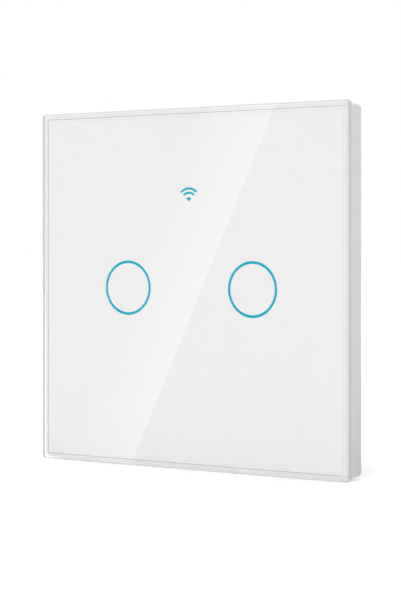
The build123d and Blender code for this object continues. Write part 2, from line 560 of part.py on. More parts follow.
def wall_slot(side):
    """The cutting body of one slotted hole for a wall screw."""
    x = side * WALL_SCREW_SPACING / 2
    reach = WALL_SLOT_LENGTH / 2 - WALL_SCREW_RADIUS
    front = -PLATE_THICKNESS - WALL_SEAT_HEIGHT - OVERRUN
    cut = plate_between(front, OVERRUN, 2 * reach, 2 * WALL_SCREW_RADIUS, x=x)
    for end in SIDES.values():
        cut += rod(front, OVERRUN, WALL_SCREW_RADIUS, x=x + end * reach)
    return cut


def plate_pillar(i, k):
    """A stepped pillar behind the plate: the power board rests on its shoulder."""
    x, z = i * BOSS_X, k * BOSS_Z
    shoulder = rod(-PLATE_THICKNESS / 2, POWER_BOARD_STANDOFF, PILLAR_SHOULDER_RADIUS, x, z)
    return shoulder + rod(0, POWER_BOARD_REAR, PILLAR_RADIUS, x, z)


def housing_groove():
    """The cutting body of the groove in the plate's rear that takes the housing's rim."""
    gap = HOUSING_GROOVE_CLEARANCE
    shift = gap * CORNER_SHIFT_SHARE
    outer = octagon_prism(-HOUSING_GROOVE_DEPTH, OVERRUN, HOUSING_SIZE + 2 * gap, HOUSING_CHAMFER + shift)
    inner = (HOUSING_INSIDE - 2 * gap, HOUSING_INNER_CHAMFER - shift)
    return outer - octagon_prism(-HOUSING_GROOVE_DEPTH - OVERRUN, 2 * OVERRUN, *inner)


def mounting_plate():
    """The wall plate: rim with snap pockets and catches, slotted holes, posts and rear pillars."""
    outline = plate_between(-PLATE_RIM_DEPTH, 0, PLATE_SIZE, PLATE_SIZE, corner=PLATE_CORNER_RADIUS)
    plate = outline - plate_between(-PLATE_RIM_DEPTH - OVERRUN, -PLATE_THICKNESS, PLATE_INSIDE, PLATE_INSIDE)
    plate -= housing_groove()
    pocket_length = RIB_LENGTH + 2 * SNAP_END_CLEARANCE
    pocket_floor = PLATE_SIZE / 2 - SNAP_POCKET_DEPTH
    catch_top = pocket_floor + CATCH_HEIGHT
    catch_near = RIB_FRONT + RIB_THICKNESS + SNAP_LIFT
    for spot in snap_spots():
        low = (-pocket_length / 2, -PLATE_RIM_DEPTH - OVERRUN, pocket_floor)
        high = (pocket_length / 2, OVERRUN, PLATE_SIZE / 2 + OVERRUN)
        plate -= spot * box_between(low, high)
        low = (-RIB_LENGTH / 2, -catch_near - CATCH_THICKNESS, pocket_floor - PLATE_RIM_WALL / 4)
        high = (RIB_LENGTH / 2, -catch_near, catch_top)
        plate += spot * box_between(low, high)
    for i, k in CORNERS:
        x, z = i * TOUCH_SCREW_PLACE, k * TOUCH_SCREW_PLACE
        plate += rod(-TOUCH_BOARD_BACK, -PLATE_THICKNESS / 2, TOUCH_POST_RADIUS, x, z)
        pilot_end = TOUCH_SCREW_BITE - TOUCH_BOARD_BACK
        plate -= rod(-TOUCH_BOARD_BACK - OVERRUN, pilot_end, TOUCH_SCREW_RADIUS, x, z)
        plate += plate_pillar(i, k)
        pilot_front = POWER_BOARD_REAR - HOUSING_SCREW_BITE
        plate -= rod(pilot_front, POWER_BOARD_REAR + OVERRUN, HOUSING_SCREW_RADIUS, i * BOSS_X, k * BOSS_Z)
    for side in SIDES.values():
        x = side * WALL_SCREW_SPACING / 2
        seat = rod(-PLATE_THICKNESS - WALL_SEAT_HEIGHT, -PLATE_THICKNESS / 2, WALL_SEAT_RADIUS, x)
        plate += seat & outline
        plate -= wall_slot(side)
        rib_front = -PLATE_THICKNESS - PLATE_RIB_HEIGHT
        z = side * PLATE_RIB_PLACE
        plate += plate_between(rib_front, -PLATE_THICKNESS / 2, PLATE_RIB_LENGTH, PLATE_RIB_WIDTH, z=z)
    window_width = PIN_COUNT * PIN_PITCH + 2 * HEADER_WINDOW_GAP
    window_height = HEADER_WIDTH + 2 * HEADER_WINDOW_GAP
    window_front = -PLATE_THICKNESS - OVERRUN
    return plate - plate_between(window_front, OVERRUN, window_width, window_height, z=HEADER_PLACE)


def touch_board():
    """The board behind the glass, notched where the wall screws go in."""
    size = TOUCH_BOARD_SIZE
    front, back = -TOUCH_BOARD_FRONT, -TOUCH_BOARD_BACK
    board = plate_between(front, back, size, size, corner=TOUCH_BOARD_CORNER_RADIUS)
    for side in SIDES.values():
        x = side * WALL_SCREW_SPACING / 2
        board -= rod(front - OVERRUN, back + OVERRUN, TOUCH_BOARD_NOTCH_RADIUS, x)
        outer = (FRAME_SIZE - WALL_SCREW_SPACING) / 2
        x += side * outer / 2
        board -= plate_between(front - OVERRUN, back + OVERRUN, outer, 2 * TOUCH_BOARD_NOTCH_RADIUS, x=x)
    for i, k in CORNERS:
        x, z = i * TOUCH_SCREW_PLACE, k * TOUCH_SCREW_PLACE
        board -= rod(front - OVERRUN, back + OVERRUN, TOUCH_SCREW_RADIUS, x, z)
    return board


def slotted_screw(seat, toward, radius, length, head_radius, head_height, slot_width, slot_depth, x, z):
    """A cheese-head screw along Y. Its head stands off the seat in the direction toward, +1 or -1."""
    head_top = seat + toward * head_height
    tip = seat - toward * length
    screw = rod(min(seat, head_top), max(seat, head_top), head_radius, x, z)
    screw += rod(min(tip, seat), max(tip, seat), radius, x, z)
    slot_floor = head_top - toward * slot_depth
    slot_end = head_top + toward * OVERRUN
    y_low, y_high = min(slot_floor, slot_end), max(slot_floor, slot_end)
    return screw - plate_between(y_low, y_high, slot_width, 2 * head_radius + OVERRUN, x, z)


def touch_board_screws():
    """Four small screws on the touch board's front."""
    length = TOUCH_SCREW_BITE + TOUCH_BOARD_THICKNESS
    screws = []
    for i, k in CORNERS:
        x, z = i * TOUCH_SCREW_PLACE, k * TOUCH_SCREW_PLACE
        screws.append(slotted_screw(-TOUCH_BOARD_FRONT, -1, TOUCH_SCREW_RADIUS, length, TOUCH_SCREW_HEAD_RADIUS,
                                    TOUCH_SCREW_HEAD_HEIGHT, TOUCH_SCREW_SLOT, TOUCH_SCREW_SLOT, x, z))
    return Compound(screws)


def touch_pad(side):
    """A foam electrode between the board and the print."""
    return rod(-PARTS_FRONT, -TOUCH_BOARD_FRONT, PAD_RADIUS, x=side * RING_PITCH / 2)


def light_guide(side):
    """A diffuser ring that stands on the board and straddles its LEDs."""
    x = side * RING_PITCH / 2
    guide = tube(-PARTS_FRONT, -TOUCH_BOARD_FRONT, GUIDE_OUTER_RADIUS, GUIDE_INNER_RADIUS, x)
    groove_front = -TOUCH_BOARD_FRONT - LED_HEIGHT - GUIDE_LED_GAP
    outer = RING_RADIUS + GUIDE_GROOVE_WIDTH / 2
    inner = RING_RADIUS - GUIDE_GROOVE_WIDTH / 2
    return guide - tube(groove_front, -TOUCH_BOARD_FRONT, outer, inner, x)


def led(x, z, turn):
    """One LED on the front of the touch board, its long side square to the turn."""
    low = (-LED_LENGTH / 2, -TOUCH_BOARD_FRONT - LED_HEIGHT, -LED_WIDTH / 2)
    high = (LED_LENGTH / 2, -TOUCH_BOARD_FRONT, LED_WIDTH / 2)
    return Pos(x, 0, z) * Rot(0, turn, 0) * box_between(low, high)


def ring_leds():
    """The LEDs under both light guides."""
    leds = []
    for side in SIDES.values():
        for n in range(LEDS_PER_RING):
            turn = 360 / LEDS_PER_RING * (n + 1 / 2)
            x = side * RING_PITCH / 2 + RING_RADIUS * math.sin(math.radians(turn))
            leds.append(led(x, RING_RADIUS * math.cos(math.radians(turn)), turn))
    return Compound(leds)


def signal_led():
    """The LED behind the pictogram."""
    return led(0, SHROUD_PLACE, 0)


def signal_shroud():
    """A short tube that keeps the pictogram's light off the rings."""
    return tube(-PARTS_FRONT, -TOUCH_BOARD_FRONT, SHROUD_OUTER_RADIUS, SHROUD_INNER_RADIUS, z=SHROUD_PLACE)


def small_outline_chip(seat, toward, x, z):
    """An eight-leg chip that stands on the plane at depth seat."""
    standoff = CHIP_LEG_HEIGHT / 4
    near, far = sorted((seat + toward * standoff, seat + toward * CHIP_HEIGHT))
    chip = plate_between(near, far, CHIP_LENGTH, CHIP_WIDTH, x, z)
    near, far = sorted((seat, seat + toward * CHIP_LEG_HEIGHT))
    for n in range(CHIP_LEG_PAIRS):
        leg_x = x + (n - (CHIP_LEG_PAIRS - 1) / 2) * CHIP_LEG_PITCH
        chip += plate_between(near, far, CHIP_LEG_WIDTH, CHIP_LEG_SPAN, leg_x, z)
    return chip


def touch_passives():
    """A row of small resistors and capacitors under the touch chip."""
    parts = []
    for n in range(PASSIVE_COUNT):
        parts.append(led((n - (PASSIVE_COUNT - 1) / 2) * PASSIVE_PITCH, PASSIVE_PLACE, 90))
    return Compound(parts)


def radio_board():
    """The wireless module's own board, with its aerial at the lower end."""
    front = -TOUCH_BOARD_FRONT - RADIO_THICKNESS
    return plate_between(front, -TOUCH_BOARD_FRONT, RADIO_WIDTH, RADIO_LENGTH, z=RADIO_PLACE)


def radio_shield():
    """The tin can over the wireless module."""
    back = -TOUCH_BOARD_FRONT - RADIO_THICKNESS
    z = RADIO_PLACE + SHIELD_OFFSET
    outer = (SHIELD_WIDTH, SHIELD_LENGTH)
    can = plate_between(back - SHIELD_HEIGHT, back, *outer, z=z, corner=SHIELD_CORNER_RADIUS)
    inner = (SHIELD_WIDTH - 2 * SHIELD_WALL, SHIELD_LENGTH - 2 * SHIELD_WALL)
    return can - plate_between(back - SHIELD_HEIGHT + SHIELD_WALL, back + OVERRUN, *inner, z=z)


def pin_places():
    """The pins' places along X."""
    return [(n - (PIN_COUNT - 1) / 2) * PIN_PITCH for n in range(PIN_COUNT)]


def header_socket():
    """The socket on the back of the touch board, down to the pin header's base."""
    rear = POWER_BOARD_STANDOFF - HEADER_BASE_HEIGHT
    socket = plate_between(-TOUCH_BOARD_BACK, rear, PIN_COUNT * PIN_PITCH, HEADER_WIDTH, z=HEADER_PLACE)
    hole = PIN_SIDE + 2 * PIN_PLAY
    for x in pin_places():
        socket -= plate_between(rear - PIN_SOCKET_DEPTH, rear + OVERRUN, hole, hole, x, HEADER_PLACE)
    return socket


def pin_header():
    """The pin header on the front of the power board."""
    front = POWER_BOARD_STANDOFF - HEADER_BASE_HEIGHT
    header = plate_between(front, POWER_BOARD_STANDOFF, PIN_COUNT * PIN_PITCH, HEADER_WIDTH, z=HEADER_PLACE)
    tip = front - PIN_SOCKET_DEPTH + 2 * PIN_PLAY
    for x in pin_places():
        header += plate_between(tip, POWER_BOARD_REAR + PIN_TAIL, PIN_SIDE, PIN_SIDE, x, HEADER_PLACE)
    return header


def power_board():
    """The mains board, notched for the pillars and slotted for the terminals and the header's pins."""
    front, rear = POWER_BOARD_STANDOFF, POWER_BOARD_REAR
    size = POWER_BOARD_SIZE
    board = octagon_prism(front, rear, size, HOUSING_CHAMFER)
    notch = PILLAR_RADIUS + PILLAR_NOTCH_CLEARANCE
    for i, k in CORNERS:
        x, z = i * BOSS_X, k * BOSS_Z
        board -= rod(front - OVERRUN, rear + OVERRUN, notch, x, z)
        outer = size / 2 + OVERRUN - BOSS_X
        board -= plate_between(front - OVERRUN, rear + OVERRUN, outer, 2 * notch, x + i * outer / 2, z)
    leg = (BAR_WIDTH + 2 * BAR_PLAY, BAR_LEG_THICKNESS + 2 * BAR_PLAY)
    for x in POLES:
        leg_z = (BAR_LEG_LOW + BAR_LEG_HIGH) / 2
        board -= plate_between(front - OVERRUN, rear + OVERRUN, *leg, x, leg_z)
    pin_hole = PIN_SIDE + 2 * PIN_PLAY
    for x in pin_places():
        board -= plate_between(front - OVERRUN, rear + OVERRUN, pin_hole, pin_hole, x, HEADER_PLACE)
    return board


def terminal_block():
    """The insulating block: one cell, wire entry, head bore and leg channel for each pole."""
    half = POLE_COUNT * POLE_PITCH / 2 + BLOCK_END_WALL
    block = box_between((-half, POWER_BOARD_REAR, BLOCK_LOW), (half, BLOCK_REAR, BLOCK_HIGH))
    cell_half = CAGE_WIDTH / 2 + CAGE_PLAY
    leg_high = BAR_LEG_HIGH + BAR_PLAY
    for x in POLES:
        low = (x - cell_half, CAGE_NEAR - CAGE_PLAY, CELL_LOW)
        block -= box_between(low, (x + cell_half, CELL_FAR, CAGE_HIGH + 2 * CAGE_PLAY))
        channel_half = BAR_WIDTH / 2 + BAR_PLAY
        low = (x - channel_half, POWER_BOARD_REAR - OVERRUN, BAR_LEG_LOW - BAR_PLAY)
        block -= box_between(low, (x + channel_half, BAR_FAR + BAR_PLAY, leg_high))
        low = (x - channel_half, BAR_NEAR - BAR_PLAY, CAGE_HIGH)
        block -= box_between(low, (x + channel_half, BAR_FAR + BAR_PLAY, leg_high))
        block -= rod(HEAD_NEAR, BLOCK_REAR + OVERRUN, TERMINAL_HEAD_RADIUS + 2 * CAGE_PLAY, x, SCREW_Z)
        shank_hole = TERMINAL_SCREW_RADIUS + 2 * CAGE_PLAY
        block -= rod(CELL_FAR - OVERRUN, BLOCK_REAR, shank_hole, x, SCREW_Z)
        block -= wire_bore(x, BLOCK_LOW, CELL_LOW)
    return block


def wire_bore(x, wall_low, wall_high):
    """The cutting body of one wire entry through a wall square to Z."""
    length = wall_high - wall_low + 2 * OVERRUN
    return Pos(x, WIRE_DEPTH, (wall_low + wall_high) / 2) * Cylinder(WIRE_ENTRY_RADIUS, length)


def terminal_bars():
    """The fixed current bars: each lies in its cage and turns down through the board."""
    bars = []
    for x in POLES:
        low = (x - BAR_WIDTH / 2, BAR_NEAR, CAGE_LOW + BAR_END_SETBACK)
        high = (x + BAR_WIDTH / 2, BAR_FAR, BAR_LEG_HIGH)
        bar = box_between(low, high)
        low = (x - BAR_WIDTH / 2, POWER_BOARD_STANDOFF - BAR_TAIL, BAR_LEG_LOW)
        bars.append(bar + box_between(low, high))
    return Compound(bars)


def terminal_clamp(x):
    """A rising cage: open along Z for the wire, with the screw's thread in its rear wall."""
    low = (x - CAGE_WIDTH / 2, CAGE_NEAR, CAGE_LOW)
    cage = box_between(low, (x + CAGE_WIDTH / 2, CAGE_FAR, CAGE_HIGH))
    inner = CAGE_WIDTH / 2 - CAGE_SIDE_WALL
    low = (x - inner, CAGE_NEAR + CAGE_PRESS_WALL, CAGE_LOW - OVERRUN)
    cage -= box_between(low, (x + inner, CAGE_FAR - CAGE_THREAD_WALL, CAGE_HIGH + OVERRUN))
    thread = TERMINAL_SCREW_RADIUS + RUNNING_CLEARANCE
    return cage - rod(BAR_FAR, CAGE_FAR + OVERRUN, thread, x, SCREW_Z)


def terminal_screw(x):
    """A terminal screw, its slotted head towards the rear."""
    length = HEAD_NEAR - BAR_FAR - TERMINAL_SCREW_TIP_GAP
    return slotted_screw(HEAD_NEAR, 1, TERMINAL_SCREW_RADIUS, length, TERMINAL_HEAD_RADIUS,
                         TERMINAL_HEAD_HEIGHT, TERMINAL_SLOT_WIDTH, TERMINAL_SLOT_DEPTH, x, SCREW_Z)


def relay_box(start, u_low, u_high, h_low, h_high, width):
    """A box in a relay: u runs along its length, h above the board, and it is centred in width."""
    low = (start + u_low, POWER_BOARD_REAR + h_low, RELAY_PLACE - width / 2)
    return box_between(low, (start + u_high, POWER_BOARD_REAR + h_high, RELAY_PLACE + width / 2))


def relay_rod(start, u, h_low, h_high, radius):
    """A round bar in a relay, square to the board."""
    return rod(POWER_BOARD_REAR + h_low, POWER_BOARD_REAR + h_high, radius, start + u, RELAY_PLACE)


def relay_cover(start):
    """The relay's sealed cover, open towards the board."""
    cover = relay_box(start, 0, RELAY_LENGTH, 0, RELAY_HEIGHT, RELAY_WIDTH)
    far = POWER_BOARD_REAR + RELAY_HEIGHT
    rims = square_edges(cover, far) + list(cover.edges().filter_by(Axis.Y))
    cover = fillet(rims, RELAY_EDGE_RADIUS)
    inner = (RELAY_LENGTH - RELAY_WALL, -OVERRUN, RELAY_HEIGHT - RELAY_WALL, RELAY_WIDTH - 2 * RELAY_WALL)
    return cover - relay_box(start, RELAY_WALL, *inner)


def relay_base(start):
    """The plastic foot inside the cover's mouth."""
    gap = RELAY_WALL + RELAY_FIT
    return relay_box(start, gap, RELAY_LENGTH - gap, 0, RELAY_BASE_HEIGHT, RELAY_WIDTH - 2 * gap)


def relay_yoke(start):
    """The iron circuit: an angle of two plates with the core and its pole disc."""
    low = RELAY_BASE_HEIGHT
    yoke = relay_box(start, YOKE_START, YOKE_END, low, low + YOKE_THICKNESS, YOKE_WIDTH)
    yoke += relay_box(start, YOKE_END - YOKE_THICKNESS, YOKE_END, low, YOKE_HEIGHT, YOKE_WIDTH)
    yoke += relay_rod(start, CORE_PLACE, low + YOKE_THICKNESS / 2, POLE_HEIGHT, CORE_RADIUS)
    return yoke + relay_rod(start, CORE_PLACE, POLE_HEIGHT - POLE_THICKNESS, POLE_HEIGHT, POLE_RADIUS)


def relay_coil(start):
    """The wound bobbin round the core."""
    low = RELAY_BASE_HEIGHT + YOKE_THICKNESS
    high = POLE_HEIGHT - POLE_THICKNESS - COIL_TOP_GAP
    coil = relay_rod(start, CORE_PLACE, low, high, COIL_RADIUS)
    coil += relay_rod(start, CORE_PLACE, low, low + BOBBIN_FLANGE, BOBBIN_RADIUS)
    coil += relay_rod(start, CORE_PLACE, high - BOBBIN_FLANGE, high, BOBBIN_RADIUS)
    return coil - relay_rod(start, CORE_PLACE, low - OVERRUN, high + OVERRUN, CORE_RADIUS + BOBBIN_GAP)


def relay_armature(start):
    """The tilting iron plate with its contact blade and rivet, at rest clear of the pole."""
    low = ARMATURE_LOW
    plate = relay_box(start, ARMATURE_START, YOKE_END, low, low + ARMATURE_THICKNESS, ARMATURE_WIDTH)
    plate += relay_box(start, YOKE_END - YOKE_THICKNESS, BLADE_END, low, low + BLADE_THICKNESS, BLADE_WIDTH)
    rivet_low = low - CONTACT_HEIGHT
    rivet_high = low + BLADE_THICKNESS + CONTACT_HEIGHT
    return plate + relay_rod(start, CONTACT_PLACE, rivet_low, rivet_high, CONTACT_RADIUS)


def relay_contacts(start):
    """The two fixed contacts, below and above the moving rivet, on their posts."""
    thick, width = CONTACT_BAR_THICKNESS, CONTACT_BAR_WIDTH
    near, far = CONTACT_PLACE - CONTACT_RADIUS, CONTACT_PLACE + CONTACT_RADIUS
    make_top = MAKE_CONTACT_LOW + thick
    post = (CONTACT_POST_PLACE, CONTACT_POST_PLACE + thick)
    make = relay_box(start, near, post[1], MAKE_CONTACT_LOW, make_top, width)
    make += relay_box(start, *post, RELAY_BASE_HEIGHT, make_top, width)
    rest = relay_box(start, near, far, REST_CONTACT_TOP - thick, REST_CONTACT_TOP, width)
    rest += relay_box(start, near, near + thick, RELAY_BASE_HEIGHT, REST_CONTACT_TOP, width)
    return Compound([make, rest])


def transformer_core():
    """The ferrite core: three legs and two yokes, standing over its winding."""
    low = POWER_BOARD_REAR + TRANSFORMER_LIFT
    high = POWER_BOARD_REAR + TRANSFORMER_HEIGHT
    x, z = TRANSFORMER_X, TRANSFORMER_Z
    core = plate_between(low, high, TRANSFORMER_LENGTH, TRANSFORMER_WIDTH, x, z)
    for side in SIDES.values():
        window = (TRANSFORMER_LENGTH - 2 * TRANSFORMER_LEG - TRANSFORMER_MIDDLE_LEG) / 2
        window_x = x + side * (TRANSFORMER_MIDDLE_LEG + window) / 2
        through = TRANSFORMER_WIDTH + OVERRUN
        core -= plate_between(low + TRANSFORMER_LEG, high - TRANSFORMER_LEG, window, through, window_x, z)
    return core


def transformer_winding():
    """The taped winding round the core's middle leg, with a foot on the board."""
    low = POWER_BOARD_REAR + TRANSFORMER_LIFT + TRANSFORMER_LEG + WINDING_GAP
    high = POWER_BOARD_REAR + TRANSFORMER_HEIGHT - TRANSFORMER_LEG - WINDING_GAP
    x, z = TRANSFORMER_X, TRANSFORMER_Z
    winding = plate_between(low, high, WINDING_LENGTH, WINDING_WIDTH, x, z, WINDING_CORNER_RADIUS)
    hole = (TRANSFORMER_MIDDLE_LEG + 2 * WINDING_GAP, TRANSFORMER_WIDTH + 2 * WINDING_GAP)
    winding -= plate_between(low - OVERRUN, high + OVERRUN, *hole, x, z)
    foot_depth = (WINDING_WIDTH - TRANSFORMER_WIDTH) / 2 - WINDING_GAP
    for side in SIDES.values():
        foot_z = z + side * (TRANSFORMER_WIDTH / 2 + WINDING_GAP + foot_depth / 2)
        winding += plate_between(POWER_BOARD_REAR, low + WINDING_GAP, WINDING_LENGTH, foot_depth, x, foot_z)
    return winding


def electrolytic(radius, height, x, z):
    """An electrolytic can with its rolled groove."""
    low = POWER_BOARD_REAR
    can = rod(low, low + height, radius, x, z)
    can = fillet(square_edges(can, low + height), CAPACITOR_EDGE_RADIUS)
    groove = Pos(x, low + CAPACITOR_BEAD_PLACE, z) * Rot(90, 0, 0) * Torus(radius, CAPACITOR_BEAD_RADIUS)
    return can - groove


def film_capacitor():
    """The box-shaped interference capacitor."""
    return plate_between(POWER_BOARD_REAR, POWER_BOARD_REAR + FILM_CAPACITOR_HEIGHT, FILM_CAPACITOR_LENGTH,
                         FILM_CAPACITOR_WIDTH, TRANSFORMER_X, FILM_CAPACITOR_Z, RELAY_EDGE_RADIUS)


def varistor():
    """The disc varistor on its two leads."""
    axis_depth = POWER_BOARD_REAR + VARISTOR_LIFT + VARISTOR_RADIUS
    disc = Pos(VARISTOR_X, axis_depth, VARISTOR_Z) * Cylinder(VARISTOR_RADIUS, VARISTOR_THICKNESS)
    disc = fillet(disc.edges(), VARISTOR_THICKNESS / 3)
    for side in SIDES.values():
        x = VARISTOR_X + side * VARISTOR_LEAD_PITCH / 2
        disc += rod(POWER_BOARD_REAR, axis_depth, VARISTOR_LEAD_RADIUS, x, VARISTOR_Z)
    return disc


def fuse():
    """The round radial fuse."""
    can = rod(POWER_BOARD_REAR, POWER_BOARD_REAR + FUSE_HEIGHT, FUSE_RADIUS, FUSE_X, FUSE_Z)
    return fillet(square_edges(can, POWER_BOARD_REAR + FUSE_HEIGHT), CAPACITOR_EDGE_RADIUS)


def choke():
    """The drum choke: two flanges and a wound waist."""
    low = POWER_BOARD_REAR
    high = low + CHOKE_HEIGHT
    drum = rod(low, high, CHOKE_WAIST_RADIUS, CHOKE_X, CHOKE_Z)
    drum += rod(low, low + CHOKE_FLANGE_HEIGHT, CHOKE_FLANGE_RADIUS, CHOKE_X, CHOKE_Z)
    return drum + rod(high - CHOKE_FLANGE_HEIGHT, high, CHOKE_FLANGE_RADIUS, CHOKE_X, CHOKE_Z)


def rectifier():
    """The bridge rectifier."""
    top = POWER_BOARD_REAR + RECTIFIER_HEIGHT
    return plate_between(POWER_BOARD_REAR, top, RECTIFIER_LENGTH, RECTIFIER_WIDTH, RECTIFIER_X, RECTIFIER_Z)


def housing_boss(i, k):
    """A deep boss inside the housing. Its screw pulls the power board and the plate's pillar up to it."""
    return rod(POWER_BOARD_REAR, HOUSING_FLOOR + HOUSING_WALL / 2, BOSS_RADIUS, i * BOSS_X, k * BOSS_Z)


def rear_housing():
    """The housing: chamfered box, screw bosses, wire entries, screwdriver window and vents."""
    outer = octagon_prism(-HOUSING_GROOVE_DEPTH, HOUSING_DEPTH, HOUSING_SIZE, HOUSING_CHAMFER)
    outer = fillet(square_edges(outer, HOUSING_DEPTH), HOUSING_EDGE_RADIUS)
    inner = octagon_prism(-HOUSING_GROOVE_DEPTH - OVERRUN, HOUSING_FLOOR, HOUSING_INSIDE, HOUSING_INNER_CHAMFER)
    housing = outer - inner
    for i, k in CORNERS:
        housing += housing_boss(i, k) & outer
    for i, k in CORNERS:
        x, z = i * BOSS_X, k * BOSS_Z
        housing -= rod(POWER_BOARD_REAR + BOSS_FLOOR, HOUSING_DEPTH + OVERRUN, BOSS_BORE_RADIUS, x, z)
        hole = HOUSING_SCREW_RADIUS + HOUSING_SCREW_HOLE_CLEARANCE
        housing -= rod(POWER_BOARD_REAR - OVERRUN, HOUSING_DEPTH, hole, x, z)
    for x in POLES:
        housing -= wire_bore(x, -HOUSING_SIZE / 2, -HOUSING_INSIDE / 2)
    window = (DRIVER_WINDOW_WIDTH, DRIVER_WINDOW_HEIGHT)
    housing -= plate_between(HOUSING_FLOOR - OVERRUN, HOUSING_DEPTH + OVERRUN, *window, z=SCREW_Z)
    for n in range(VENT_COUNT):
        x = (n - (VENT_COUNT - 1) / 2) * VENT_PITCH
        vent = (VENT_WIDTH, VENT_LENGTH, x, VENT_PLACE)
        housing -= plate_between(HOUSING_FLOOR - OVERRUN, HOUSING_DEPTH + OVERRUN, *vent)
    return housing


def housing_screws():
    """Four screws from the rear, through the bosses into the plate's pillars."""
    length = HOUSING_SCREW_BITE + BOSS_FLOOR
    screws = []
    for i, k in CORNERS:
        screws.append(slotted_screw(POWER_BOARD_REAR + BOSS_FLOOR, 1, HOUSING_SCREW_RADIUS, length,
                                    HOUSING_SCREW_HEAD_RADIUS, HOUSING_SCREW_HEAD_HEIGHT,
                                    HOUSING_SCREW_SLOT_WIDTH, HOUSING_SCREW_SLOT_DEPTH, i * BOSS_X, k * BOSS_Z))
    return Compound(screws)


def all_nodes():
    """Every sub-part by its node name."""
    nodes = {
        "glass_panel": glass_panel(),
        "glass_print": glass_print(),
        "signal_filter": signal_filter(),
        "adhesive_tape": adhesive_tape(),
        "panel_frame": panel_frame(),
        "mounting_plate": mounting_plate(),
        "touch_board": touch_board(),
        "touch_board_screws": touch_board_screws(),
        "ring_leds": ring_leds(),
        "signal_led": signal_led(),
        "signal_shroud": signal_shroud(),
        "touch_chip": small_outline_chip(-TOUCH_BOARD_FRONT, -1, 0, TOUCH_CHIP_PLACE),
        "touch_passives": touch_passives(),
        "radio_board": radio_board(),
        "radio_shield": radio_shield(),
        "header_socket": header_socket(),
        "pin_header": pin_header(),
        "power_board": power_board(),
        "transformer_core": transformer_core(),
        "transformer_winding": transformer_winding(),
        "mains_capacitor": electrolytic(MAINS_CAPACITOR_RADIUS, MAINS_CAPACITOR_HEIGHT,
                                        MAINS_CAPACITOR_X, MAINS_CAPACITOR_Z),
        "output_capacitor": electrolytic(OUTPUT_CAPACITOR_RADIUS, OUTPUT_CAPACITOR_HEIGHT,
                                         OUTPUT_CAPACITOR_X, OUTPUT_CAPACITOR_Z),
        "film_capacitor": film_capacitor(),
        "varistor": varistor(),
        "fuse": fuse(),
        "choke": choke(),
        "rectifier": rectifier(),
        "converter_chip": small_outline_chip(POWER_BOARD_REAR, 1, CONVERTER_X, CONVERTER_Z),
        "terminal_block": terminal_block(),
        "terminal_bars": terminal_bars(),
        "rear_housing": rear_housing(),
        "housing_screws": housing_screws(),
    }
    for name, side in SIDES.items():
        nodes["ring_filter_" + name] = ring_filter(side)
        nodes["touch_pad_" + name] = touch_pad(side)
        nodes["light_guide_" + name] = light_guide(side)
    for n, x in enumerate(POLES, 1):
        nodes[f"terminal_clamp_{n}"] = terminal_clamp(x)
        nodes[f"terminal_screw_{n}"] = terminal_screw(x)
    for n, start in enumerate(RELAY_STARTS, 1):
        nodes[f"relay_{n}_cover"] = relay_cover(start)
        nodes[f"relay_{n}_base"] = relay_base(start)
        nodes[f"relay_{n}_yoke"] = relay_yoke(start)
        nodes[f"relay_{n}_coil"] = relay_coil(start)
        nodes[f"relay_{n}_armature"] = relay_armature(start)
        nodes[f"relay_{n}_contacts"] = relay_contacts(start)
    return nodes


os.makedirs("parts", exist_ok=True)
for name, shape in all_nodes().items():
    export_step(shape, f"parts/{name}.step")
print("clamp travel", CLAMP_TRAVEL)
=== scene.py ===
import logging
from collections.abc import Sequence
from dataclasses import dataclass, field
from enum import Enum
from math import acos, cos, pi, radians, sin

import bmesh
import bpy
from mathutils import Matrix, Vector, noise


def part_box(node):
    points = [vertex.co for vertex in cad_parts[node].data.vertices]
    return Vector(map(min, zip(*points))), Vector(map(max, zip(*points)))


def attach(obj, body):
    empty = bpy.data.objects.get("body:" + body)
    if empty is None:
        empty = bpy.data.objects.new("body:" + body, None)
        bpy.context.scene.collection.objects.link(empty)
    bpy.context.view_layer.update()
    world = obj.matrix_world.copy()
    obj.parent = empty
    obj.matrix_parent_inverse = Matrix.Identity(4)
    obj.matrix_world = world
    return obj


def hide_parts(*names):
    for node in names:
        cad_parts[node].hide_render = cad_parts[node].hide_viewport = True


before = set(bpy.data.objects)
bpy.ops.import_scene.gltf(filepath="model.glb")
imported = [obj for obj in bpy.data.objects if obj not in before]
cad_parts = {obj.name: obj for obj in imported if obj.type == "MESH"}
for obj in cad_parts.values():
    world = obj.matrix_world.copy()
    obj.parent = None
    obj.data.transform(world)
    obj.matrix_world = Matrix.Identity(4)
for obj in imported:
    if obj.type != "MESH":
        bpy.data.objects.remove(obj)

LOG = logging.getLogger("touch_switch")
MM = 0.001  # metres in a millimetre: sizes are stated in mm
SIDES = 48  # sides of a turned body
HELIX_ROWS = 8  # rows of faces in one turn of a thread or winding
EDGE_STEPS = 3  # faces across a rounded edge
CORNER_STEPS = 8  # faces round a corner
HALF_STEPS = 24  # faces round half a screw head
PAD_RINGS = 20  # rings of faces across a foam pad
SHARP = 32  # degrees between two faces from which their edge is sharp
WHITE = (1.0, 1.0, 1.0, 1.0)
Point = tuple[float, float]
Loop = list[tuple[float, float, float]]
Tree = bpy.types.NodeTree
Node = bpy.types.Node
Socket = bpy.types.NodeSocket


def linear(colour: str) -> tuple[float, float, float, float]:
    """Turns an sRGB hex colour to linear light.

    Args:
        colour: sRGB colour such as "#e8e8e8".

    Returns:
        Linear red, green, blue and an alpha of 1.
    """
    shares = [int(colour[n:n + 2], 16) / 255 for n in (1, 3, 5)]
    bright = [s / 12.92 if s <= 0.04045 else ((s + 0.055) / 1.055) ** 2.4 for s in shares]
    return (*bright, 1.0)


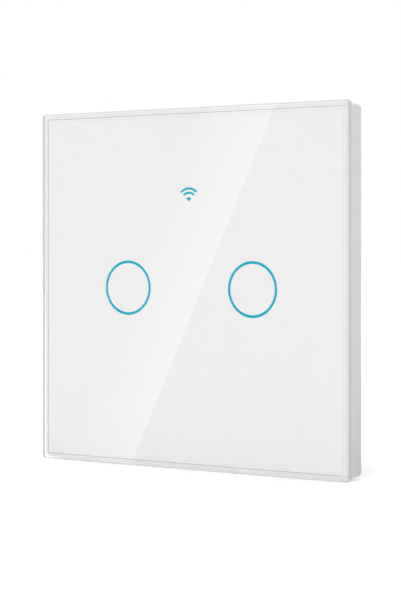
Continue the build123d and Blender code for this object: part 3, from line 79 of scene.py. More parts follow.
def add_node(tree: Tree, kind: str, settings: dict | None = None, links: dict | None = None) -> Node:
    """Adds one shader node with its settings and links.

    Args:
        tree: the node tree that takes it.
        kind: Blender's name of the node type, after "ShaderNode".
        settings: properties by lower-case name, and input values by input name or number.
        links: what feeds each input, by input name or number: a socket, or a node's first output.

    Returns:
        The new node.
    """
    node = tree.nodes.new("ShaderNode" + kind)
    for key, value in (settings or {}).items():
        if isinstance(key, str) and key[0].islower():
            setattr(node, key, value)
        else:
            node.inputs[key].default_value = value
    for key, source in (links or {}).items():
        tree.links.new(source.outputs[0] if isinstance(source, Node) else source, node.inputs[key])
    return node


def emptied(owner: bpy.types.ID) -> Tree:
    """Returns the node tree of a material or world, without its first nodes."""
    owner.use_nodes = True
    owner.node_tree.nodes.clear()
    return owner.node_tree


def placed(name: str, data: bpy.types.ID) -> bpy.types.Object:
    """Returns a new object of a mesh, lamp or camera, linked to the scene."""
    made = bpy.data.objects.new(name, data)
    bpy.context.scene.collection.objects.link(made)
    return made


class Relief(Enum):
    """How a surface was made, which sets the pattern of its fine relief."""

    SPARKED = "spark-eroded mould face, or any even grain"
    BRUSHED = "rolled or drawn metal, with lines along X"
    WOVEN = "glass cloth under a coat, with threads along X and Z"
    CELLS = "open cells of foam, or a crystalline coat"


@dataclass(frozen=True)
class Finish:
    """A solid finish with an even grain, a faint drift in colour and edges that catch the light."""

    name: str
    colour: str
    roughness: float
    metallic: float = 0.0
    ior: float = 1.5
    relief: Relief = Relief.SPARKED
    grain: float = 0.6  # mm
    depth: float = 0.004  # mm
    drift: float = 0.03  # share by which the colour drifts
    edge: float = 0.1  # mm, the radius of a moulded or cut edge

    def material(self) -> bpy.types.Material:
        """Returns the finish's material, made once."""
        known = bpy.data.materials.get(self.name)
        if known:
            return known
        mat = bpy.data.materials.new(self.name)
        tree = emptied(mat)
        add_node(tree, "OutputMaterial", links={"Surface": self.shader(tree)})
        return mat

    def plain(self) -> dict:
        """Returns the even values of a finish without a grain."""
        return {"Base Color": linear(self.colour), "Roughness": self.roughness, "IOR": self.ior}

    def shader(self, tree: Tree) -> Node:
        """Builds the shader and returns its last node."""
        place = add_node(tree, "TexCoord").outputs["Object"]
        own = {"Metallic": self.metallic} if self.metallic else {"IOR": self.ior}
        made = {"Base Color": self.tint(tree, place), "Roughness": self.gloss(tree, place)}
        return add_node(tree, "BsdfPrincipled", own, {**made, "Normal": self.normal(tree, place)})

    def pattern(self, tree: Tree, place: Socket) -> Socket:
        """Returns the height of the fine relief, from 0 to 1."""
        size = 1 / (self.grain * MM)
        if self.relief is Relief.CELLS:
            return add_node(tree, "TexVoronoi", {"Scale": size}, {"Vector": place}).outputs["Distance"]
        if self.relief is Relief.WOVEN:
            # At a twentieth of the scale a wave is 2 pi grains long: real threads are too fine to show.
            both = []
            for way in ("X", "Z"):
                wave = {"bands_direction": way, "Scale": size / 20, "Distortion": 0.6}
                both.append(add_node(tree, "TexWave", wave, {"Vector": place}).outputs["Fac"])
            return add_node(tree, "Math", {"operation": "MULTIPLY"}, {0: both[0], 1: both[1]}).outputs[0]
        if self.relief is Relief.BRUSHED:
            stretch = {"Scale": (0.06, 1, 1)}
            place = add_node(tree, "Mapping", stretch, {"Vector": place}).outputs["Vector"]
        return add_node(tree, "TexNoise", {"Scale": size, "Detail": 3.0}, {"Vector": place}).outputs["Fac"]

    def drifting(self, tree: Tree, place: Socket, grains: int) -> Socket:
        """Returns a value from 0 to 1 that changes over some grains."""
        slow = {"Scale": 1 / (grains * self.grain * MM), "Detail": 2.0}
        return add_node(tree, "TexNoise", slow, {"Vector": place}).outputs["Fac"]

    def tint(self, tree: Tree, place: Socket) -> Socket:
        """Returns the colour with its slow drift."""
        base = linear(self.colour)[:3]
        dark = (*(c * (1 - self.drift) for c in base), 1.0)
        light = (*(min(1.0, c * (1 + self.drift)) for c in base), 1.0)
        ends = {"data_type": "RGBA", 6: dark, 7: light}
        return add_node(tree, "Mix", ends, {0: self.drifting(tree, place, 12)}).outputs[2]

    def gloss(self, tree: Tree, place: Socket) -> Socket:
        """Returns the roughness, which varies a little."""
        ends = {"To Min": self.roughness * 0.9, "To Max": min(1.0, self.roughness * 1.1)}
        return add_node(tree, "MapRange", ends, {"Value": self.drifting(tree, place, 5)}).outputs["Result"]

    def normal(self, tree: Tree, place: Socket) -> Socket:
        """Returns the normal: the relief over edges rounded by their radius."""
        edge = add_node(tree, "Bevel", {"samples": 4, "Radius": self.edge * MM})
        links = {"Height": self.pattern(tree, place), "Normal": edge}
        return add_node(tree, "Bump", {"Strength": 1.0, "Distance": self.depth * MM}, links).outputs["Normal"]


@dataclass(frozen=True)
class Glass(Finish):
    """Polished glass. Rays from lamps and from the ink behind pass it straight."""

    passes: float = 1.0  # share of the lamps' light that gets through unseen
    through: float = 1.0  # share of what is seen that is light from the other side

    def face(self, tree: Tree) -> dict[str, Socket]:
        """Returns what feeds the seen shader: nothing, as a polished face is even."""
        return {}

    def shader(self, tree: Tree) -> Node:
        """Builds the shader and returns its last node."""
        own = {**self.plain(), "Transmission Weight": self.through}
        seen = add_node(tree, "BsdfPrincipled", own, self.face(tree))
        path = add_node(tree, "LightPath").outputs
        rays = {0: path["Is Shadow Ray"], 1: path["Is Diffuse Ray"]}
        light = add_node(tree, "Math", {"operation": "MAXIMUM"}, rays)
        passed = add_node(tree, "Math", {"operation": "MULTIPLY", 1: self.passes}, {0: light})
        return add_node(tree, "MixShader", links={0: passed, 1: seen, 2: add_node(tree, "BsdfTransparent")})


@dataclass(frozen=True)
class Frosted(Glass):
    """The ground edge of the glass. It scatters what is seen, and lets light through to what it frames."""

    passes: float = 0.88
    through: float = 0.2

    def face(self, tree: Tree) -> dict[str, Socket]:
        """Returns what feeds the seen shader: the drift in colour and the grit."""
        place = add_node(tree, "TexCoord").outputs["Object"]
        return {"Base Color": self.tint(tree, place), "Normal": self.normal(tree, place)}


@dataclass(frozen=True)
class LitTable(Finish):
    """A white acrylic table top that is lit from below, less beside the frame's right foot. The camera sees a
    glow of its own on it: weaker under the object, a painted shade, and stronger further out, painted light
    that hides the object's shadow there.
    """

    glow: float = 0.4  # as a light
    painted_glow_near: float = 0.14  # painted shade: the glow that only the camera sees, under the object
    painted_glow_far: float = 0.45  # painted light: the glow that only the camera sees, from here on outwards, over the object's shadow
    near: float = 34.0  # mm
    far: float = 52.0  # mm
    dim_place: tuple[float, float, float] = (60.0, 3.0, 0.0)  # mm, beside the frame's right foot
    dim_near: float = 10.0  # mm
    dim_far: float = 23.0  # mm

    def shader(self, tree: Tree) -> Node:
        """Builds the shader and returns its last node."""
        place = add_node(tree, "TexCoord").outputs["Object"]
        away = add_node(tree, "VectorMath", {"operation": "LENGTH"}, {0: place}).outputs["Value"]
        rise = {"From Min": self.near * MM, "From Max": self.far * MM}
        rise |= {"To Min": self.painted_glow_near, "To Max": self.painted_glow_far}
        seen = add_node(tree, "MapRange", rise, {"Value": away})
        dim = {"operation": "DISTANCE", 1: [c * MM for c in self.dim_place]}
        apart = add_node(tree, "VectorMath", dim, {0: place}).outputs["Value"]
        fall = {"From Min": self.dim_near * MM, "From Max": self.dim_far * MM, "To Max": self.glow}
        light = add_node(tree, "MapRange", fall, {"Value": apart})
        # The camera sees the painted glow instead of the lamp's: a painted shade near the object and painted
        # light further out.
        eye = add_node(tree, "LightPath").outputs["Is Camera Ray"]
        glow = add_node(tree, "Mix", links={0: eye, 2: light, 3: seen})
        own = {**self.plain(), "Emission Color": WHITE}
        return add_node(tree, "BsdfPrincipled", own, {"Emission Strength": glow})


@dataclass(frozen=True)
class Bonded(Finish):
    """The face of the glass that the ink is fired on: it neither bends nor reflects."""

    def shader(self, tree: Tree) -> Node:
        """Builds the shader and returns its last node."""
        return add_node(tree, "BsdfTransparent")


# Real grains are mostly finer than 0.1 mm and wouldn't show, so those below are drawn coarser, at 0.15 mm
# and more.
GLASS = Glass("tempered_float_glass_polished", "#ffffff", 0.0, ior=1.52)
BONDED = Bonded("glass_face_under_fired_ink", "#ffffff", 0.0)
# Ground and seamed by a wet belt: pale, matt, with a fine grit along the edge.
GROUND = Frosted("glass_edge_ground", "#d5d7d6", 0.5, ior=1.52, grain=0.2, depth=0.002, edge=0.02)
# Cast and matted: an even white without a gloss of its own, under a painted glow that only the camera sees.
FLOOR = LitTable("floor_acrylic_white_matt", "#e8e8e8", 0.8, ior=1.0)
# Screen-printed and fired on the back of the glass: even, with no gloss but that of the glass.
INK = Finish("ceramic_ink_fired_white", "#e7e7e7", 0.55, ior=1.0, grain=0.5, depth=0.001, drift=0.004)
# Dyed polyester film: flat, clean colour that the glass makes deeper.
FILM = Finish("pet_film_tinted_cyan", "#00adc6", 0.35, ior=1.0, grain=0.4, depth=0.001, drift=0.02)
# Closed-cell acrylic foam, slit from a roll: matt, with pinprick cells on the cut edge.
TAPE = Finish("acrylic_foam_tape_grey", "#efefef", 0.8, relief=Relief.CELLS, grain=0.3, depth=0.02)
# Moulded in a spark-eroded tool: a soft sheen broken by a grain that is just visible.
FRAME_ABS = Finish("abs_moulded_light_grey", "#e3e3e3", 0.45, grain=0.4, depth=0.003, edge=0.2)
PLATE_PC = Finish("polycarbonate_moulded_white", "#dddddb", 0.42, grain=0.5, depth=0.004, edge=0.15)
# The same with a flame-retardant filler: greyer and duller, with a deeper grain.
HOUSING_PC = Finish("polycarbonate_flame_retardant", "#cfd0cf", 0.5, grain=0.5, depth=0.006, edge=0.2)
# Solder mask, curtain-coated: smooth and wet-looking, with the weave of the board just under it.
WHITE_MASK = Finish("solder_mask_white_on_glass_epoxy", "#dfe1de", 0.35, relief=Relief.WOVEN, grain=0.5)
GREEN_MASK = Finish("solder_mask_green_on_glass_epoxy", "#17613a", 0.3, relief=Relief.WOVEN, grain=0.5)
RADIO_MASK = Finish("solder_mask_blue_on_glass_epoxy", "#16355f", 0.3, relief=Relief.WOVEN, grain=0.5)
# The mask where copper lies under it: raised and of another shade, so that the tracks read.
WHITE_TRACK = Finish("solder_mask_white_on_copper", "#c9ccc4", 0.3, grain=0.4, depth=0.003, edge=0.02)
RADIO_TRACK = Finish("solder_mask_blue_on_copper", "#2b5c97", 0.28, grain=0.4, depth=0.003, edge=0.02)
# Reflowed solder: bright, smooth and slightly frosted as it cools.
SOLDER = Finish("solder_reflowed", "#c3c5c8", 0.22, 1.0, grain=0.2, depth=0.004, edge=0.03)
# Electroplated tin on legs and end caps: pale and satin.
TIN = Finish("tin_plated_satin", "#d0d1d2", 0.35, 1.0, grain=0.15, depth=0.002, edge=0.02)
# Immersion gold over nickel: warm, thin and even.
GOLD = Finish("gold_over_nickel", "#dcb866", 0.25, 1.0, grain=0.2, depth=0.002, edge=0.03)
# Zinc plate on turned steel: cold and bright, uneven where the plating is thin.
ZINC = Finish("steel_zinc_plated", "#c9cbd0", 0.28, 1.0, grain=0.3, depth=0.002, drift=0.06, edge=0.05)
# Open-cell foam filled with carbon: nearly black, no shine, pitted.
FOAM = Finish("foam_conductive_open_cell", "#3b3d40", 0.9, relief=Relief.CELLS, grain=0.35, depth=0.08)
# Opal acrylic: milky, with the soft gloss of a polished mould.
OPAL = Finish("acrylic_opal_moulded", "#f1f3f4", 0.4, grain=0.5, depth=0.003)
# Moulded silicone: black with a dusty, dull bloom.
RUBBER = Finish("silicone_rubber_black", "#242527", 0.65, grain=0.3, depth=0.008, drift=0.08)
# The LED's white housing, and the phosphor resin that fills it.
PPA = Finish("ppa_moulded_white", "#ecebe6", 0.45, grain=0.2, depth=0.003, edge=0.04)
RESIN = Finish("led_resin_cast_pale_yellow", "#e9e3b4", 0.12, grain=0.2, depth=0.001, edge=0.04)
# Transfer-moulded epoxy: charcoal, satin, with a fine blasted grain and one polished pin mark.
EPOXY = Finish("epoxy_moulded_black", "#202124", 0.55, grain=0.25, depth=0.006, edge=0.06)
PIN_MARK = Finish("epoxy_moulded_polished", "#2d2e32", 0.2, grain=0.25, depth=0.001, edge=0.03)
# Sintered ceramic: a capacitor is tan all through, a resistor has a black glaze.
CERAMIC = Finish("ceramic_sintered_tan", "#a88a64", 0.6, grain=0.2, depth=0.003, edge=0.04)
GLAZED = Finish("ceramic_glazed_black", "#1c1d20", 0.25, grain=0.2, depth=0.002, edge=0.04)
# Drawn from rolled tinplate: mirror-like, with the roll's faint lines along X.
TINPLATE = Finish("steel_tinned_rolled", "#c6c9cc", 0.25, 1.0, relief=Relief.BRUSHED, grain=0.3)
# Nylon: black, slightly waxy.
NYLON = Finish("nylon_moulded_black", "#1d1e20", 0.5, grain=0.3, depth=0.004, edge=0.05)
# Pressed and sintered ferrite: dark grey, matt, crystalline.
FERRITE = Finish("ferrite_sintered", "#3a3a3d", 0.5, relief=Relief.CELLS, grain=0.4, depth=0.01)
# Polyester tape over the turns: glossy yellow that follows what it covers.
YELLOW_TAPE = Finish("polyester_tape_yellow", "#d8b63a", 0.25, grain=0.8, depth=0.006, edge=0.08)
# Heat-shrunk PVC: dark blue with a pale stripe, tight and slightly orange-peeled.
SLEEVE = Finish("pvc_sleeve_shrunk_dark", "#1f2a44", 0.35, grain=0.8, depth=0.01)
STRIPE = Finish("pvc_sleeve_printed_stripe", "#b9c0cc", 0.35, grain=0.8, depth=0.01)
# Deep-drawn aluminium: pale, softly lined; its score lines are darker and duller strips, the darkness a
# painted shade of their grooves.
ALUMINIUM = Finish("aluminium_deep_drawn", "#cfd1d3", 0.3, 1.0, relief=Relief.BRUSHED, grain=0.25)
SCORE_PAINTED_SHADE = Finish("aluminium_score_painted_shade", "#8d9095", 0.45, 1.0, grain=0.2, depth=0.004, edge=0.02)
# Moulded box and potting: opaque yellow with a satin grain.
YELLOW_PBT = Finish("pbt_moulded_yellow", "#d9a72c", 0.4, grain=0.4, depth=0.004)
# Dipped and cured: a wavy, glossy blue skin.
DIPPED = Finish("epoxy_dipped_blue", "#1f4f9c", 0.3, grain=1.2, depth=0.03)
# Moulded polyester of the fuse's cap: dark green, satin.
FUSE_PBT = Finish("pbt_moulded_dark_green", "#27392c", 0.45, grain=0.3, depth=0.004)
# Nylon with chopped glass: grey, with a dry surface where fibres come near it.
TERMINAL_PA = Finish("nylon_glass_filled_grey", "#8f949a", 0.5, relief=Relief.BRUSHED, grain=0.3, depth=0.004)
# Stamped strip, brass and zinc-plated steel: the roll's lines, warm on the one and cold on the other.
BRASS = Finish("brass_stamped", "#c8a24e", 0.3, 1.0, relief=Relief.BRUSHED, grain=0.3, edge=0.06)
CLAMP_STEEL = Finish("steel_zinc_passivated", "#b9bcc2", 0.32, 1.0, relief=Relief.BRUSHED, grain=0.3)
# Moulded polyester of the relays: a satin blue cover on a black foot.
RELAY_PBT = Finish("pbt_moulded_blue", "#2a5fa8", 0.4, grain=0.35, depth=0.004)
FOOT_PBT = Finish("pbt_moulded_black", "#222326", 0.5, grain=0.3, depth=0.004)
# Annealed iron under nickel: grey, soft sheen, lined along the strip.
IRON = Finish("iron_nickel_plated", "#b4b5b3", 0.3, 1.0, relief=Relief.BRUSHED, grain=0.3)
# Enamelled wire: copper red under a clear, glossy coat.
COPPER = Finish("copper_wire_enamelled", "#a9542a", 0.28, 1.0, grain=0.2, depth=0.002, edge=0.02)
Ends = tuple[Finish | None, Finish | None]
Stripe = tuple[int, int, Finish] | None


class Shape:
    """A mesh in the making: closed bodies in mm, each face with a finish."""

    def __init__(self) -> None:
        """Starts empty."""
        self.mesh = bmesh.new()
        self.finishes: list[Finish] = []

    def number(self, finish: Finish) -> int:
        """Returns the finish's material number in this mesh."""
        if finish not in self.finishes:
            self.finishes.append(finish)
        return self.finishes.index(finish)

    def skin(
        self, finish: Finish, loops: Sequence[Loop], ends: Ends = (None, None), closed: bool = False,
        stripe: Stripe = None,
    ) -> None:
        """Joins loops of equal length into a closed body.

        Args:
            finish: the body's finish.
            loops: the loops in order, in mm.
            ends: finishes of the two end faces, where they differ.
            closed: whether the last loop joins the first, as in a ring, instead of the two end faces.
            stripe: first and last column of side faces that have another finish, and that finish.
        """
        rings = [[self.mesh.verts.new([c * MM for c in point]) for point in loop] for loop in loops]
        own = self.number(finish)
        first, last, other = stripe or (0, 0, finish)
        marked = self.number(other)
        for low, high in zip(rings, rings[1:] + rings[:1] if closed else rings[1:]):
            for n in range(len(low)):
                face = self.mesh.faces.new((low[n - 1], low[n], high[n], high[n - 1]))
                face.smooth = True
                face.material_index = marked if first <= n < last else own
        if not closed:
            for ring, end in ((rings[0][::-1], ends[0]), (rings[-1], ends[1])):
                self.mesh.faces.new(ring).material_index = self.number(end or finish)

    def slab(
        self, finish: Finish, depths: Point, size: Point, corner: float, edge: float, place: Point,
        turn: float = 0.0, ends: Ends = (None, None),
    ) -> None:
        """Adds a plate or block with round corners and rounded edges.

        Args:
            finish: its finish.
            depths: Y of its two faces, the lower first.
            size: along X and Z.
            corner: radius of its corners, seen along Y.
            edge: radius of the edges round its two faces, less than the corner's.
            place: X and Z of its middle.
            turn: degrees that it is turned about Y.
            ends: finishes of the two faces, where they differ.
        """
        loops = []
        for face, toward in zip(depths, (1, -1)):
            half = []
            for step in range(EDGE_STEPS + 1):
                angle = pi / 2 * step / EDGE_STEPS
                inset = edge * (1 - sin(angle))
                y = face + toward * edge * (1 - cos(angle))
                half.append(rounded(y, size, corner - inset, place, inset, turn))
            loops += half[::toward]
        self.skin(finish, loops, ends)

    def turned(
        self, finish: Finish, profile: Sequence[Point], place: Point, bore: float = 0.0,
        ends: Ends = (None, None), stripe: Stripe = None, sides: int = SIDES,
    ) -> None:
        """Adds a body of revolution about a line along Y.

        Args:
            finish: its finish.
            profile: radius and Y of each step, from one end to the other.
            place: X and Z of the line.
            bore: radius of a hole through it, or 0.
            ends: finishes of the two faces, where they differ.
            stripe: first and last column of side faces that have another finish, and that finish.
            sides: columns of faces all round.
        """
        loops = [circle(radius, y, place, sides) for radius, y in profile]
        if bore:
            loops += [circle(bore, profile[step][1], place, sides) for step in (-1, 0)]
        self.skin(finish, loops, ends, bool(bore), stripe)

    def helical(
        self, finish: Finish, radius: float, depth: float, pitch: float, depths: Point, place: Point,
        bore: float = 0.0, taper: float = 0.0,
    ) -> None:
        """Adds a thread or a winding: a rod whose side rises and falls along one unbroken helix.

        Args:
            finish: its finish.
            radius: over the crests.
            depth: from crest to root.
            pitch: from one turn to the next.
            depths: Y of its root and of its tip.
            place: X and Z of its axis.
            bore: radius of a hole through it, or 0.
            taper: length over which it narrows to its tip, to just under half its radius.
        """
        start, end = depths
        rows = round(abs(end - start) / pitch * HELIX_ROWS)
        loops = []
        for row in range(rows + 1):
            y = start + (end - start) * row / rows
            narrow = min(1.0, 0.45 + 0.55 * abs(end - y) / taper) if taper else 1.0
            loop = []
            for side in range(SIDES):
                angle = 2 * pi * side / SIDES
                dip = depth / 2 * (1 - cos(2 * pi * y / pitch - angle))
                here = (radius - dip) * narrow
                loop.append((place[0] + here * cos(angle), y, place[1] + here * sin(angle)))
            loops.append(loop)
        if bore:
            loops += [circle(bore, end, place), circle(bore, start, place)]
        self.skin(finish, loops, closed=bool(bore))

    def strap(self, finish: Finish, path: Sequence, axis: Sequence, along: float, across: float) -> None:
        """Adds a strip of rectangular section along a flat path.

        Args:
            finish: its finish.
            path: its middle line, in mm.
            axis: the direction square to the path's plane.
            along: the section's size along that direction.
            across: its size in the path's plane.
        """
        points = [Vector(point) for point in path]
        ways = [(b - a).normalized() for a, b in zip(points, points[1:])]
        loops = []
        for n, point in enumerate(points):
            before, after = ways[max(0, n - 1)], ways[min(n, len(ways) - 1)]
            side = Vector(axis).cross((before + after).normalized())
            out = side * (across / 2 / side.dot(Vector(axis).cross(before)))
            rise = Vector(axis) * (along / 2)
            loops.append([tuple(point + s * rise + t * out) for s, t in ((1, 1), (-1, 1), (-1, -1), (1, -1))])
        self.skin(finish, loops)

    def piece(self, name: str) -> bpy.types.Object:
        """Makes an object of the finished mesh, linked to the scene."""
        bmesh.ops.recalc_face_normals(self.mesh, faces=self.mesh.faces)
        mesh = bpy.data.meshes.new(name)
        self.mesh.to_mesh(mesh)
        self.mesh.free()
        for finish in self.finishes:
            mesh.materials.append(finish.material())
        mesh.set_sharp_from_angle(angle=radians(SHARP))
        piece = placed(name, mesh)
        piece.modifiers.new("flat_faces_stay_flat", "WEIGHTED_NORMAL").keep_sharp = True
        return piece


def circle(radius: float, y: float, place: Point, sides: int = SIDES) -> Loop:
    """Returns the corners of a circle about a line along Y."""
    angles = [2 * pi * side / sides for side in range(sides)]
    return [(place[0] + radius * cos(a), y, place[1] + radius * sin(a)) for a in angles]


def rounded(
    y: float, size: Point, corner: float, place: Point, inset: float = 0.0, turn: float = 0.0
) -> Loop:
    """Returns a rectangle with round corners.

    Args:
        y: its Y.
        size: along X and Z, before the inset.
        corner: radius of its corners.
        place: X and Z of its middle.
        inset: how much it is smaller on each side.
        turn: degrees that it is turned about its middle.

    Returns:
        The points of its outline.
    """
    width, height = size[0] - 2 * inset, size[1] - 2 * inset
    c, s = cos(radians(turn)), sin(radians(turn))
    loop = []
    for quarter, (right, up) in enumerate(((1, 1), (-1, 1), (-1, -1), (1, -1))):
        centre = (right * (width / 2 - corner), up * (height / 2 - corner))
        for step in range(CORNER_STEPS + 1):
            angle = pi / 2 * (quarter + step / CORNER_STEPS)
            x, z = centre[0] + corner * cos(angle), centre[1] + corner * sin(angle)
            loop.append((place[0] + x * c - z * s, y, place[1] + x * s + z * c))
    return loop


def row(count: int, pitch: float) -> list[float]:
    """Returns the places of some things in a row about 0."""
    return [(n - (count - 1) / 2) * pitch for n in range(count)]


class Room:
    """The room that a CAD node takes up, in mm."""

    def __init__(self, node: str) -> None:
        """Measures the node."""
        low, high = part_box(node)
        self.front, self.rear = low.y / MM, high.y / MM
        self.depths = (self.front, self.rear)
        self.foot, self.head = low.z / MM, high.z / MM
        self.x, self.z = (low.x + high.x) / 2 / MM, (low.z + high.z) / 2 / MM
        self.place = (self.x, self.z)
        self.width, self.height = (high.x - low.x) / MM, (high.z - low.z) / MM
        self.size = (self.width, self.height)
        self.radius = self.width / 2

    def toward(self, way: int) -> Point:
        """Returns Y of the face that looks this way along Y, and of the one that looks the other."""
        return self.depths if way < 0 else self.depths[::-1]


@dataclass
class SubAssembly:
    """A group of pieces that ride on one body."""

    body: str = "base"

    def dress(self, node: str, slot: str, finish: Finish) -> None:
        """Gives a carried-over CAD node its finish.

        Args:
            node: the node's name.
            slot: the record's material slot; not used.
            finish: the slot's finish.
        """
        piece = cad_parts[node]
        piece.data.materials.clear()
        piece.data.materials.append(finish.material())
        LOG.info("%s: CAD node in %s", node, finish.name)

    def seat(self, shape: Shape, name: str, slot: str, *nodes: str) -> bpy.types.Object:
        """Makes a modelled piece ride on the body, in the place of the CAD nodes that it stands for.

        Args:
            shape: its mesh, which is used up.
            name: the piece's name.
            slot: the record's material slot; not used.
            nodes: the CAD nodes that it stands for.

        Returns:
            The piece.
        """
        piece = shape.piece(name)
        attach(piece, self.body)
        if nodes:
            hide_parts(*nodes)
        LOG.info("%s: modelled, on %s, for %s", name, self.body, ", ".join(nodes) or "no node of its own")
        return piece


@dataclass
class FrontPanel(SubAssembly):
    """The removable glass front. Sizes in mm."""

    body: str = "front_panel"
    corner: float = 0.8
    arris: float = 0.25
    tape_width: float = 3.6
    tape_joint: float = 0.12  # open butt joint between two strips of tape
    tape_corner: float = 0.1
    tape_edge: float = 0.05

    def glass(self) -> None:
        """Builds the glass plate: polished faces, ground and slightly rounded edges."""
        room = Room("glass_panel")
        shape = Shape()
        size = (room.width, room.width)
        faces = (GLASS, BONDED)
        shape.slab(GROUND, room.depths, size, self.corner, self.arris, room.place, ends=faces)
        self.seat(shape, "front_glass", "clear_glass", "glass_panel")

    def tape(self) -> None:
        """Lays the tape as four cut strips that butt at the corners."""
        room = Room("adhesive_tape")
        across = room.width / 2 - self.tape_width / 2
        length = room.width - 2 * self.tape_width - 2 * self.tape_joint
        shape = Shape()
        for side in (-across, across):
            for strip, spot in (
                ((room.width, self.tape_width), (0.0, side)),
                ((self.tape_width, length), (side, 0.0)),
            ):
                shape.slab(TAPE, room.depths, strip, self.tape_corner, self.tape_edge, spot)
        self.seat(shape, "tape_strips", "grey_tape", "adhesive_tape")

    def build(self) -> None:
        """Builds and dresses the front panel."""
        self.glass()
        self.tape()
        self.dress("glass_print", "white_ink", INK)
        for node in ("ring_filter_left", "ring_filter_right", "signal_filter"):
            self.dress(node, "cyan_film", FILM)
        self.dress("panel_frame", "frame_plastic", FRAME_ABS)


@dataclass
class Screws(SubAssembly):
    """Slotted screws along Y that one node holds, one in each corner of its room. Sizes in mm."""

    node: str = "touch_board_screws"
    toward: int = -1  # the way that the head faces
    radius: float = 0.8
    head_radius: float = 1.6
    head_height: float = 0.9
    slot_width: float = 0.4
    slot_depth: float = 0.4
    pitch: float = 0.5
    taper: float = 1.2
    chamfer: float = 0.12
    thread_share: float = 0.28  # of the radius, from crest to root

    def places(self) -> list[Point]:
        """Returns X and Z of each screw."""
        room = Room(self.node)
        out = [side / 2 - self.head_radius for side in room.size]
        return [(room.x + x * out[0], room.z + z * out[1]) for x in (-1, 1) for z in (-1, 1)]

    def half_head(self, radius: float, y: float, side: int, place: Point) -> Loop:
        """Returns the outline of the head on one side of its slot."""
        swing = acos(self.slot_width / 2 / radius)
        angles = [swing * (2 * step / HALF_STEPS - 1) for step in range(HALF_STEPS + 1)]
        x, z = place
        return [(x + side * radius * cos(a), y, z + side * radius * sin(a)) for a in angles]

    def build(self) -> None:
        """Builds each screw: head with its slot, and a threaded shank."""
        room = Room(self.node)
        top, tip = room.toward(self.toward)
        seat = top - self.toward * self.head_height
        floor = top - self.toward * self.slot_depth
        rim = top - self.toward * self.chamfer
        brow = top - self.toward * self.chamfer / 4
        full, less = self.head_radius, self.head_radius - self.chamfer
        lower = ((less, seat), (full, seat + self.toward * self.chamfer), (full, floor))
        upper = ((full, floor), (full, rim), (less, brow), (less / 2, top))
        thread = self.thread_share * self.radius
        shape = Shape()
        for place in self.places():
            shape.turned(ZINC, lower, place)
            for side in (-1, 1):
                shape.skin(ZINC, [self.half_head(radius, y, side, place) for radius, y in upper])
            shape.helical(ZINC, self.radius, thread, self.pitch, (seat, tip), place, taper=self.taper)
        self.seat(shape, f"{self.node}_threaded", "zinc_screw", self.node)


@dataclass
class HousingScrews(Screws):
    """The screws that hold the rear housing. Sizes in mm."""

    node: str = "housing_screws"
    toward: int = 1
    radius: float = 1.1
    head_radius: float = 2.2
    head_height: float = 1.5
    slot_width: float = 0.6
    slot_depth: float = 0.6
    pitch: float = 0.8


@dataclass
class TerminalScrew(Screws):
    """One terminal screw, a body of its own. Sizes in mm."""

    toward: int = 1
    radius: float = 1.5
    head_radius: float = 2.4
    head_height: float = 1.7
    slot_width: float = 0.8
    slot_depth: float = 0.9
    taper: float = 0.8

    def places(self) -> list[Point]:
        """Returns X and Z of the screw."""
        return [Room(self.node).place]


@dataclass
class Chip(SubAssembly):
    """A moulded package with bent legs on its two long sides. Sizes in mm."""

    node: str = ""
    toward: int = -1  # the way that its top faces
    body_width: float = 3.9
    corner: float = 0.12
    pairs: int = 4
    pitch: float = 1.27
    leg_width: float = 0.42
    leg_thickness: float = 0.16
    leg_height: float = 0.6
    standoff: float = 0.1
    draft: float = 0.1
    dimple: float = 0.35
    dimple_depth: float = 0.02

    def build(self) -> None:
        """Builds the body with its mould draft, the pin-one mark and the legs."""
        room = Room(self.node)
        top, seat = room.toward(self.toward)
        parting = seat + self.toward * self.leg_height
        size = (room.width, self.body_width)
        shape = Shape()
        steps = ((seat + self.toward * self.standoff, self.draft), (parting, 0.0), (top, self.draft))
        shape.skin(EPOXY, [rounded(y, size, self.corner, room.place, inset) for y, inset in steps])
        mark = tuple(c - side / 2 + 3 * self.draft + self.dimple for c, side in zip(room.place, size))
        shape.turned(PIN_MARK, [(self.dimple, top + self.dimple_depth * s) for s in (1, -1)], mark)
        foot = seat + self.toward * self.leg_thickness / 2
        start, end = self.body_width / 2 - self.draft, room.height / 2
        bend = (end - start) / 3
        path = ((start, parting), (start + bend, parting), (start + 1.6 * bend, foot), (end, foot))
        for step in row(self.pairs, self.pitch):
            for side in (-1, 1):
                leg = [(room.x + step, y, room.z + side * out) for out, y in path]
                shape.strap(TIN, leg, (1, 0, 0), self.leg_width, self.leg_thickness)
        self.seat(shape, f"{self.node}_package", "chip_epoxy", self.node)


